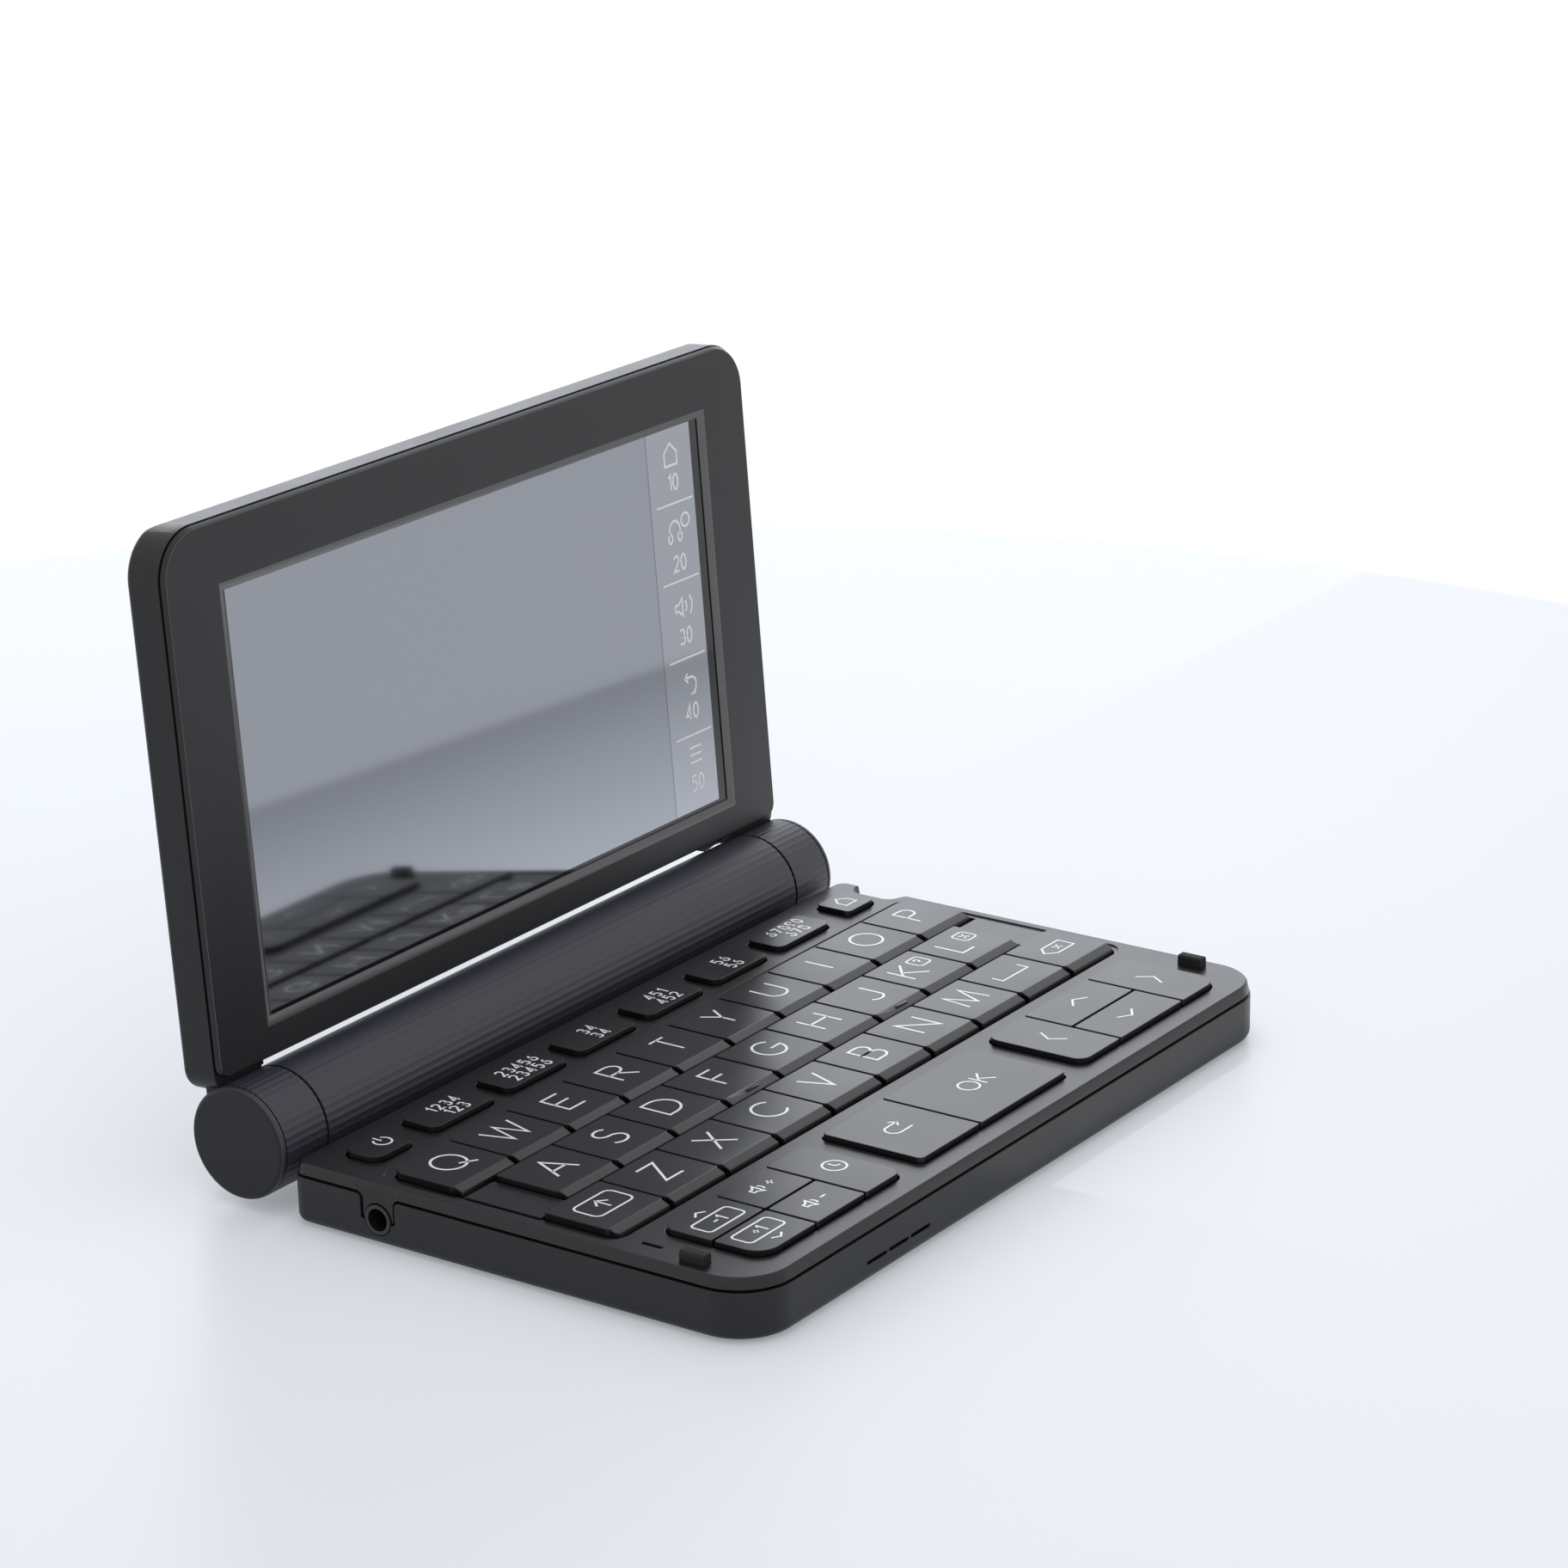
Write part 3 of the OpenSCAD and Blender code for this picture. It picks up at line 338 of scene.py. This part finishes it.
# ---- Case screws ----
# Six small countersunk machine screws in the underside, blackened steel with a cross recess; their heads
# sit a little below the face of the case.
screw_steel = moulded("screw_steel", (0.09, 0.09, 0.095), 0.38, scale=6000.0, depth=2e-6)
screw_steel.node_tree.nodes["Principled BSDF"].inputs["Metallic"].default_value = 1.0
head_radius, head_low, head_high, recess, arm, arm_half = 1.5, 0.42, 1.06, 0.4, 0.85, 0.22
screw_places = [(x, y) for x in (-56.0, 0.0, 56.0) for y in (15.46, -31.24)]


def verts_of(made):
    return [item for item in made["geom"] if isinstance(item, bmesh.types.BMVert)]


work = bmesh.new()
bmesh.ops.create_circle(work, segments=32, radius=head_radius)
rim_edges = work.edges[:]
cross = []
for c, s in ((1, 0), (0, 1), (-1, 0), (0, -1)):
    for x, y in ((arm_half, -arm_half), (arm, -arm_half), (arm, arm_half)):
        cross.append(work.verts.new((x * c - y * s, x * s + y * c, 0.0)))
cross_edges = [work.edges.new((cross[i - 1], cross[i])) for i in range(len(cross))]
bmesh.ops.triangle_fill(work, use_beauty=True, edges=work.edges[:], normal=(0.0, 0.0, -1.0))
inside = bmesh.ops.extrude_edge_only(work, edges=cross_edges)
bmesh.ops.translate(work, vec=(0.0, 0.0, recess), verts=verts_of(inside))
floor_verts = set(verts_of(inside))
bmesh.ops.contextual_create(work, geom=[edge for edge in work.edges if floor_verts.issuperset(edge.verts)])
outside = bmesh.ops.extrude_edge_only(work, edges=rim_edges)
bmesh.ops.translate(work, vec=(0.0, 0.0, head_high - head_low), verts=verts_of(outside))
bmesh.ops.recalc_face_normals(work, faces=work.faces[:])
bmesh.ops.transform(work, matrix=Matrix.Diagonal((mm, mm, mm, 1.0)), verts=work.verts[:])
one_screw = work.verts[:] + work.edges[:] + work.faces[:]
screws = [bmesh.ops.duplicate(work, geom=one_screw) for _ in screw_places[1:]] + [{"geom": one_screw}]
for screw, (x, y) in zip(screws, screw_places[1:] + screw_places[:1]):
    bmesh.ops.translate(work, vec=(x * mm, y * mm, head_low * mm), verts=verts_of(screw))
screw_mesh = bpy.data.meshes.new("case_screws")
work.to_mesh(screw_mesh)
work.free()
screw_mesh.materials.append(screw_steel)
case_screws = new_object("case_screws", screw_mesh)
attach(case_screws, frame["nodes"]["lower_case"]["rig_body"])

# ---- Barrel and battery cover ----
# Fluted tube that holds the cells, and the cover that carries its flutes on. The flutes are satin, so
# the light runs along them in streaks.
barrel_plastic = moulded("barrel_plastic", (0.021, 0.0215, 0.034), 0.48, scale=5000.0, depth=3e-6,
                         ior_level=0.6)
for node in ("barrel", "battery_cover"):
    finished(node, barrel_plastic, smooth=22.0)

# ---- Inside the base ----
# Parts that show only through gaps or when the battery cover is off: the board in green solder mask,
# the silicone key mat, the turned steel pins and the two cells in plain sleeves.
pins_low, pins_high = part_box("hinge_pins")
hinge = (pins_low + pins_high) / 2
board_finish = moulded("solder_mask", (0.012, 0.09, 0.045), 0.35, scale=700.0, depth=1e-5)
socket_finish = moulded("socket_plastic", (0.01, 0.01, 0.011), 0.3, depth=1e-6)
socket_left, socket_y, socket_half = -60.9, 12.914, 3.1
cell_rim = 6.0


def on_socket(place, normal):
    return place.x < socket_left and abs(place.y - socket_y) < socket_half


def from_hinge(place):
    return math.hypot(place.y - hinge.y / mm, place.z - hinge.z / mm)


finished("main_board", board_finish, second=socket_finish, is_second=on_socket)
mat_finish = moulded("mat_silicone", (0.1, 0.1, 0.105), 0.6, scale=4000.0, depth=5e-6)
finished("key_mat", mat_finish)
pin_finish = moulded("turned_steel", (0.42, 0.43, 0.45), 0.32, scale=6000.0, depth=1e-6)
pin_finish.node_tree.nodes["Principled BSDF"].inputs["Metallic"].default_value = 1.0
finished("hinge_pins", pin_finish)
cell_finish = moulded("cell_sleeve", (0.05, 0.075, 0.12), 0.35, scale=3000.0, depth=2e-6)


def on_cell_end(place, normal):
    return abs(normal.x) > 0.5 or from_hinge(place) < cell_rim


finished("battery_cells", cell_finish, ease=0.3 * mm, second=pin_finish, is_second=on_cell_end)

# ---- Lid ----
# Thin back shell with its end sleeves, and the bezel plate in front with the sloped window frame. Both
# are moulded in the plastic of the case; the sleeves match the barrel. The slopes of the window frame are
# smoother and carry a painted highlight: a far lighter colour than the bezel's, for the light they catch.
lid_plastic = moulded("lid_plastic", (0.009, 0.009, 0.0105), 0.38, scale=4000.0, depth=6e-6, ior_level=0.3)
sleeve_start, sleeve_radius = 62.0, 9.2


def on_sleeve(place, normal):
    return abs(normal.x) < 0.7 and abs(place.x) > sleeve_start and from_hinge(place) < sleeve_radius


lid_back = finished("lid_back", lid_plastic, smooth=22.0, second=barrel_plastic, is_second=on_sleeve)
bezel_plastic = moulded("bezel_plastic", (0.008, 0.008, 0.0105), 0.4, scale=4000.0, depth=5e-6,
                        ior_level=0.4)
# Painted highlight: the frame slopes get a colour several times lighter than the bezel's, standing in for
# the light they catch.
slope_painted_highlight = moulded("slope_painted_highlight", (0.05, 0.05, 0.056), 0.3, scale=4000.0, depth=2e-6, ior_level=0.8)
lid_tilt = math.radians(86.0)
to_lid = Matrix.Translation(hinge) @ Matrix.Rotation(lid_tilt, 4, "X")
lid_up = Vector((0.0, math.cos(lid_tilt), math.sin(lid_tilt)))
lid_out = Vector((0.0, -math.sin(lid_tilt), math.cos(lid_tilt)))
highlit_slope_low, highlit_slope_high = 0.82, 0.96


# Picks the faces of the window frame's slopes, which carry the painted highlight.
def on_highlit_slope(place, normal):
    return highlit_slope_low < normal.dot(lid_out) < highlit_slope_high


lid_bezel = finished("lid_bezel", bezel_plastic, ease=0.1 * mm, second=slope_painted_highlight, is_second=on_highlit_slope)

# ---- Display ----
# Cover glass over an unlit reflective panel: grey like a dull mirror, black along its right and lower
# edges, with a paler column for the touch signs. The panel leans back a little behind the glass.
screen_finish, nodes, links, shader = new_material("screen_glass")
spot = nodes.new("ShaderNodeTexCoord")
across = nodes.new("ShaderNodeSeparateXYZ")
links.new(spot.outputs["Object"], across.inputs[0])
height = nodes.new("ShaderNodeVectorMath")
height.operation = "DOT_PRODUCT"
height.inputs[1].default_value = lid_up
links.new(spot.outputs["Object"], height.inputs[0])


soft_step = 0.05


# One where the value lies between low and high, given in millimetres, with a soft step at both ends.
def between(value, low, high):
    steps = [map_range(nodes, links, value, (edge - soft_step * turn) * mm, (edge + soft_step * turn) * mm)
             for edge, turn in ((low, 1.0), (high, -1.0))]
    return math_node(nodes, links, "MULTIPLY", *steps)


def mixed(factor, first, second):
    mix = nodes.new("ShaderNodeMix")
    mix.data_type = "RGBA"
    links.new(factor, mix.inputs["Factor"])
    for socket, colour in zip((mix.inputs["A"], mix.inputs["B"]), (first, second)):
        if isinstance(colour, tuple):
            socket.default_value = colour
        else:
            links.new(colour, socket)
    return mix.outputs["Result"]


# Edges of the printed areas: across the lid from its middle, and up it from the hinge.
hinge_rise = hinge.dot(lid_up) / mm
border_left, picture_left, line_left, column_left, picture_right = -61.0, -60.1, 46.0, 46.3, 58.6
picture_low, picture_high = 16.7 + hinge_rise, 95.0 + hinge_rise
panel_lean = -0.0268
picture = math_node(nodes, links, "MULTIPLY", between(across.outputs["X"], picture_left, picture_right),
                    between(height.outputs["Value"], picture_low, picture_high))
panel = mixed(between(across.outputs["X"], column_left, picture_right), (0.29, 0.303, 0.34, 1.0),
              (0.33, 0.343, 0.38, 1.0))
panel = mixed(between(across.outputs["X"], line_left, column_left), panel, (0.2, 0.21, 0.24, 1.0))
border = mixed(between(across.outputs["X"], border_left, picture_left), (0.004, 0.004, 0.005, 1.0),
               (0.06, 0.06, 0.066, 1.0))
links.new(mixed(picture, border, panel), shader.inputs["Base Color"])
links.new(picture, shader.inputs["Metallic"])
tilt = nodes.new("ShaderNodeBump")
tilt.inputs["Distance"].default_value = 1.0
links.new(math_node(nodes, links, "MULTIPLY", height.outputs["Value"], panel_lean), tilt.inputs["Height"])
links.new(tilt.outputs["Normal"], shader.inputs["Normal"])
shader.inputs["Roughness"].default_value = 0.05
finished("display", screen_finish)

# ---- Keys ----
# Each key top is moulded in one piece, dark and a little smoother than the deck, with the edges of
# its top just broken.
key_plastic = moulded("key_plastic", (0.0055, 0.0055, 0.0065), 0.29, scale=4500.0, depth=4e-6,
                      ior_level=0.4)
key_nodes = sorted(name for name in frame["nodes"] if name.startswith("key_") and name != "key_mat")
for node in key_nodes:
    finished(node, key_plastic, ease=0.12 * mm)

# ---- Legends ----
# Signs printed on the keys in pale grey ink, drawn as single strokes: plain letters, numbers and
# arrows. Points are in parts of a letter's height, from its lower left corner.
ink, nodes, links, shader = new_material("legend_ink")
fleck = nodes.new("ShaderNodeTexNoise")
fleck.inputs["Scale"].default_value = 3000.0
spot = nodes.new("ShaderNodeTexCoord")
links.new(spot.outputs["Object"], fleck.inputs["Vector"])
ramp = nodes.new("ShaderNodeValToRGB")
ramp.color_ramp.elements[0].color = (0.78, 0.79, 0.84, 1.0)
ramp.color_ramp.elements[1].color = (0.88, 0.89, 0.94, 1.0)
links.new(fleck.outputs["Fac"], ramp.inputs["Fac"])
links.new(ramp.outputs["Color"], shader.inputs["Base Color"])
shader.inputs["Roughness"].default_value = 0.29


def arc(x, y, wide, high, start, end, steps=14):
    return [(x + wide * math.cos(math.radians(start + (end - start) * i / steps)),
             y + high * math.sin(math.radians(start + (end - start) * i / steps)))
            for i in range(steps + 1)]


letters = {
    "a": [[(0, 0), (0.36, 1), (0.72, 0)], [(0.12, 0.33), (0.6, 0.33)]],
    "b": [[(0, 0.5), (0, 1), (0.3, 1), *arc(0.3, 0.76, 0.24, 0.24, 90, -90), (0, 0.52)],
          [(0, 0.52), (0.33, 0.52), *arc(0.33, 0.26, 0.27, 0.26, 90, -90), (0, 0), (0, 0.52)]],
    "c": [arc(0.48, 0.5, 0.48, 0.5, 45, 315, 24)],
    "d": [[(0, 0), (0, 1), (0.24, 1), *arc(0.24, 0.5, 0.46, 0.5, 90, -90, 20), (0, 0)]],
    "e": [[(0.52, 1), (0, 1), (0, 0), (0.52, 0)], [(0, 0.52), (0.46, 0.52)]],
    "f": [[(0.52, 1), (0, 1), (0, 0)], [(0, 0.52), (0.46, 0.52)]],
    "g": [[*arc(0.48, 0.5, 0.48, 0.5, 45, 350, 26), (0.95, 0.47), (0.52, 0.47)]],
    "h": [[(0, 0), (0, 1)], [(0.66, 0), (0.66, 1)], [(0, 0.52), (0.66, 0.52)]],
    "i": [[(0, 0), (0, 1)]],
    "j": [[(0.44, 1), (0.44, 0.24), *arc(0.22, 0.24, 0.22, 0.24, 0, -160)]],
    "k": [[(0, 0), (0, 1)], [(0.56, 1), (0.02, 0.46)], [(0.17, 0.6), (0.62, 0)]],
    "l": [[(0, 1), (0, 0), (0.48, 0)]],
    "m": [[(0, 0), (0.1, 1), (0.44, 0.06), (0.78, 1), (0.88, 0)]],
    "n": [[(0, 0), (0, 1), (0.68, 0), (0.68, 1)]],
    "o": [arc(0.5, 0.5, 0.5, 0.5, 0, 360, 32)],
    "p": [[(0, 0), (0, 1), (0.3, 1), *arc(0.3, 0.74, 0.27, 0.26, 90, -90), (0, 0.48)]],
    "q": [arc(0.5, 0.5, 0.5, 0.5, 0, 360, 32), [(0.6, 0.24), (1.06, -0.06)]],
    "r": [[(0, 0), (0, 1), (0.3, 1), *arc(0.3, 0.74, 0.27, 0.26, 90, -90), (0, 0.48)],
          [(0.26, 0.48), (0.58, 0)]],
    "s": [[*arc(0.29, 0.76, 0.25, 0.24, 35, 255), *arc(0.29, 0.25, 0.29, 0.27, 75, -150)]],
    "t": [[(0, 1), (0.64, 1)], [(0.32, 1), (0.32, 0)]],
    "u": [[(0, 1), (0, 0.31), *arc(0.32, 0.31, 0.32, 0.31, 180, 360), (0.64, 1)]],
    "v": [[(0, 1), (0.35, 0), (0.7, 1)]],
    "w": [[(0, 1), (0.27, 0), (0.54, 1), (0.81, 0), (1.08, 1)]],
    "x": [[(0, 0), (0.64, 1)], [(0.02, 1), (0.66, 0)]],
    "y": [[(0, 1), (0.34, 0.48), (0.68, 1)], [(0.34, 0.48), (0.34, 0)]],
    "z": [[(0, 1), (0.62, 1), (0, 0), (0.64, 0)]],
}
# How much wider each letter stands on the keys than it is drawn above.
wider = {"a": 1.24, "b": 1.15, "c": 1.05, "d": 1.25, "e": 1.35, "f": 1.12, "h": 1.26, "j": 1.35, "k": 1.2,
         "l": 1.25, "m": 1.18, "n": 1.24, "p": 1.07, "r": 1.25, "s": 1.19, "u": 1.15, "v": 1.07, "w": 1.11,
         "x": 1.15, "y": 0.95, "z": 1.17}
letters = {sign: [[(x * wider.get(sign, 1.0), y) for x, y in stroke] for stroke in strokes]
           for sign, strokes in letters.items()}
digits = {
    "0": [arc(0.26, 0.5, 0.26, 0.5, 0, 360, 24)],
    "1": [[(0.08, 0.8), (0.3, 1), (0.3, 0)]],
    "2": [[*arc(0.26, 0.72, 0.26, 0.28, 160, -30), (0, 0), (0.54, 0)]],
    "3": [[*arc(0.25, 0.76, 0.22, 0.24, 150, -90), *arc(0.25, 0.27, 0.27, 0.27, 90, -150)]],
    "4": [[(0.42, 0), (0.42, 1), (0, 0.28), (0.56, 0.28)]],
    "5": [[(0.5, 1), (0.08, 1), (0.04, 0.56), *arc(0.24, 0.32, 0.27, 0.32, 120, -145)]],
    "6": [[(0.42, 1), *arc(0.27, 0.3, 0.27, 0.3, 160, 520, 24)]],
    "7": [[(0, 1), (0.54, 1), (0.16, 0)]],
    "8": [arc(0.27, 0.76, 0.21, 0.24, 0, 360, 20), arc(0.27, 0.26, 0.27, 0.26, 0, 360, 20)],
    "9": [[(0.12, 0), *arc(0.27, 0.7, 0.27, 0.3, -20, 340, 24)]],
}


def centred(strokes, height, sideways=0.0, up=0.0):
    flat = [point for stroke in strokes for point in stroke]
    middle = (min(p[0] for p in flat) + max(p[0] for p in flat)) / 2
    return [[((x - middle) * height + sideways, (y - 0.5) * height + up) for x, y in stroke]
            for stroke in strokes]


def line_of(signs, height, sideways=0.0, up=0.0, gap=0.24):
    strokes, reach = [], 0.0
    for sign in signs:
        drawn = signs_drawn[sign]
        strokes += [[(x + reach, y) for x, y in stroke] for stroke in drawn]
        reach += max(x for stroke in drawn for x, y in stroke) + gap
    return centred(strokes, height, sideways, up)


def moved(strokes, sideways, up, scale=1.0):
    return [[(x * scale + sideways, y * scale + up) for x, y in stroke] for stroke in strokes]


def round_box(wide, high, corner, sideways=0.0, up=0.0):
    x, y = wide / 2 - corner, high / 2 - corner
    outline = (arc(x, y, corner, corner, 0, 90, 4) + arc(-x, y, corner, corner, 90, 180, 4)
               + arc(-x, -y, corner, corner, 180, 270, 4) + arc(x, -y, corner, corner, 270, 360, 4))
    return moved([outline + outline[:1]], sideways, up)


def chevron(size, turn, sideways=0.0, up=0.0):
    points = [(-size, -size / 3), (0.0, size / 3), (size, -size / 3)]
    c, s = math.cos(math.radians(turn)), math.sin(math.radians(turn))
    return [[(x * c - y * s + sideways, x * s + y * c + up) for x, y in points]]


# Printed strokes become a flat layer of ink just over the face that carries them: a ribbon along each
# stroke, with its corners mitred. Strokes are in millimetres round the origin of the given place, and
# points of a stroke that fall together are taken as one.
same_point = 0.01
mitre_limit = 0.35
ink_height = 0.02 * mm


def printed(name, strokes, line, carrier, place):
    work = bmesh.new()
    for stroke in strokes:
        closed = math.dist(stroke[0], stroke[-1]) < 1e-9
        points = [Vector(point) for point in (stroke[:-1] if closed else stroke)]
        points = [point for i, point in enumerate(points)
                  if not i or (point - points[i - 1]).length > same_point]
        count = len(points)
        edges = []
        for i, point in enumerate(points):
            before = (point - points[i - 1]).normalized() if closed or i else None
            after = (points[(i + 1) % count] - point).normalized() if closed or i < count - 1 else None
            along = (before or after) + (after or before)
            side = Vector((-along.y, along.x)).normalized()
            square = Vector((-(after or before).y, (after or before).x))
            reach = line / 2 / mm / max(mitre_limit, side.dot(square))
            corners = [point + side * reach, point - side * reach]
            edges.append([work.verts.new((c.x * mm, c.y * mm, ink_height)) for c in corners])
        for i in range(count if closed else count - 1):
            first, then = edges[i], edges[(i + 1) % count]
            work.faces.new((first[0], first[1], then[1], then[0]))
    bmesh.ops.recalc_face_normals(work, faces=work.faces[:])
    for face in work.faces:
        if face.normal.z < 0.0:
            face.normal_flip()
    mesh = bpy.data.meshes.new(name)
    work.to_mesh(mesh)
    work.free()
    mesh.transform(place)
    mesh.materials.append(ink)
    piece = new_object(name, mesh)
    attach(piece, carrier)
    return piece


letter_height = 5.65
letter_line = 0.44 * mm
letter_rise = 1.3
letter_side = 0.4
small_line = 0.36 * mm
function_height = 2.1
signs_drawn = {**letters, **digits, "+": [[(0, 0.5), (0.5, 0.5)], [(0.25, 0.25), (0.25, 0.75)]],
               "-": [[(0, 0.5), (0.5, 0.5)]],
               "?": [[*arc(0.26, 0.74, 0.26, 0.26, 170, -70), (0.27, 0.26)], [(0.27, 0.08), (0.27, 0.0)]]}
# The other signs are drawn in millimetres round their own middle, then moved to their place on the key.
home_sign = [[(-1.5, -1.6), (1.5, -1.6), (1.5, 0.3), (0.0, 1.7), (-1.5, 0.3), (-1.5, -1.6)]]
power_sign = [arc(0, -0.1, 1.45, 1.45, 125, 415, 24), [(0, 1.9), (0, 0.1)]]
return_sign = [[(1.8, -1.4), (-1.3, -1.4), *arc(-1.3, 0, 1.4, 1.4, 270, 90, 12), (1.6, 1.4)],
               [(0.6, 2.4), (1.6, 1.4), (0.6, 0.4)]]
clock_sign = [arc(0, 0, 1.9, 1.9, 0, 360, 28), [(0, 1.2), (0, 0), (0.9, -0.5)]]
speaker_sign = [[(-1.3, 0.45), (-0.6, 0.45), (0.3, 1.2), (0.3, -1.2), (-0.6, -0.45), (-1.3, -0.45),
                 (-1.3, 0.45)], arc(0.3, 0, 0.95, 0.95, 50, -50, 6)]
shift_sign = round_box(9.0, 5.2, 1.2) + [[(0, -1.5), (0, 1.5)], [(-1.4, 0.1), (0, 1.5), (1.4, 0.1)]]
space_sign = [[(-3.8, 1.1), (-3.8, -1.1), (3.8, -1.1), (3.8, 1.1)]]
delete_sign = [[(-3.4, 0), (-1.7, 1.6), (3.4, 1.6), (3.4, -1.6), (-1.7, -1.6), (-3.4, 0)],
               [(0.0, 0.7), (1.4, -0.7)], [(0.0, -0.7), (1.4, 0.7)]]
key_signs = {
    "power": moved(power_sign, 1.6, 0.3), "home": moved(home_sign, -0.4, 0.3),
    "shift": moved(shift_sign, letter_side, letter_rise), "space": moved(space_sign, 0.0, letter_rise),
    "delete": moved(delete_sign, -0.2, letter_rise - 0.2), "back": moved(return_sign, 0.2, 0.6),
    "history": moved(clock_sign, 0.8, 0.5), "enter": line_of("ok", 3.5, 0.7, 0.5),
    "left": chevron(2.5, 90, 0.1, 0.4), "right": chevron(2.5, -90, 0.0, 0.3),
    "up": chevron(2.3, 0, 0.4, 0.7), "down": chevron(2.3, 180, -0.2, -0.1),
    "vol_up": moved(speaker_sign, -1.2, 0.5) + line_of("+", 2.6, 2.0, 0.5),
    "vol_down": moved(speaker_sign, -1.2, 0.3) + line_of("-", 2.6, 2.0, 0.3),
    "prev": chevron(1.3, 0, 0, 2.6) + round_box(9.0, 3.8, 0.8, 0, -1.0) + line_of("-1", 2.1, 0, -1.0),
    "next": chevron(1.3, 180, 0, -2.4) + round_box(9.0, 3.8, 0.8, 0, 1.2) + line_of("+1", 2.1, 0, 1.2),
}
function_signs = {"f1": ("1234", "123"), "f2": ("23456", "23456"), "f3": ("34", "34"), "f4": ("451", "452"),
                  "f5": ("56", "56"), "f6": ("67890", "678")}
for sign, (upper, lower) in function_signs.items():
    key_signs[sign] = (line_of(upper, function_height, 0.7, 1.6, 0.4)
                       + line_of(lower, function_height, 0.7, -1.2, 0.4))
for node in key_nodes:
    sign = node[4:]
    low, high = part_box(node)
    middle = (low + high) / 2
    place = Matrix.Translation((middle.x, middle.y, high.z))
    if sign in ("k", "l"):
        drawn = line_of(sign, letter_height, -1.6, letter_rise)
        printed("legend_" + sign, drawn, letter_line, node, place)
        inner = line_of("?" if sign == "k" else "x", 1.7, 3.4, 2.6)
        printed("box_" + sign, round_box(3.3, 3.3, 0.7, 3.4, 2.6) + inner, small_line, node, place)
    elif sign in letters:
        drawn = centred(letters[sign], letter_height, letter_side, letter_rise)
        printed("legend_" + sign, drawn, letter_line, node, place)
    elif sign in key_signs:
        printed("legend_" + sign, key_signs[sign], small_line, node, place)

# ---- Touch signs ----
# Five signs printed in white down the right side of the screen, with lines between them: home,
# headphones, speaker, return and menu, each with a plain number under it.
glass_w = -2.75
touch_line = 0.42 * mm
number_height = 2.6
headphones = [arc(0, 0, 1.5, 1.7, 200, -20, 16), moved([arc(0, 0, 0.55, 0.8, 0, 360, 14)], -1.35, -1.2)[0],
              moved([arc(0, 0, 0.55, 0.8, 0, 360, 14)], 1.35, -1.2)[0],
              moved([arc(0, 0, 1.15, 1.15, 0, 360, 18)], 3.1, 1.3)[0]]
sound = moved(speaker_sign, -0.8, 0, 1.25) + [arc(0.1, 0, 2.2, 2.2, 45, -45, 8)]
turn_back = [[(1.3, -1.7), (0.2, -1.7), *arc(0.2, -0.3, 1.4, 1.4, 270, 360, 6),
              *arc(0.2, 0.2, 1.4, 1.1, 0, 90, 6), (-1.5, 1.3)], [(-0.6, 2.1), (-1.5, 1.3), (-0.6, 0.5)]]
menu = [[(-1.7, up), (1.7, up)] for up in (1.3, 0.0, -1.3)]
touch_signs = [("touch_home", moved(home_sign, 52.7, 79.0, 1.15), "10", 74.2),
               ("touch_listen", moved(headphones, 52.3, 65.9), "20", 60.2),
               ("touch_sound", moved(sound, 53.1, 52.5), "30", 47.4),
               ("touch_return", moved(turn_back, 53.1, 38.7), "40", 34.0),
               ("touch_menu", moved(menu, 53.0, 26.4), "50", 21.4)]
on_glass = to_lid @ Matrix.Translation((0.0, 0.0, glass_w * mm))
for name, drawn, text, rise in touch_signs:
    printed(name, drawn + line_of(text, number_height, 53.0, rise), touch_line, "lid", on_glass)
lines = [[(47.8, rise), (58.0, rise)] for rise in (70.6, 57.1, 43.5, 29.9)]
printed("touch_lines", lines, 0.8 * touch_line, "lid", on_glass)
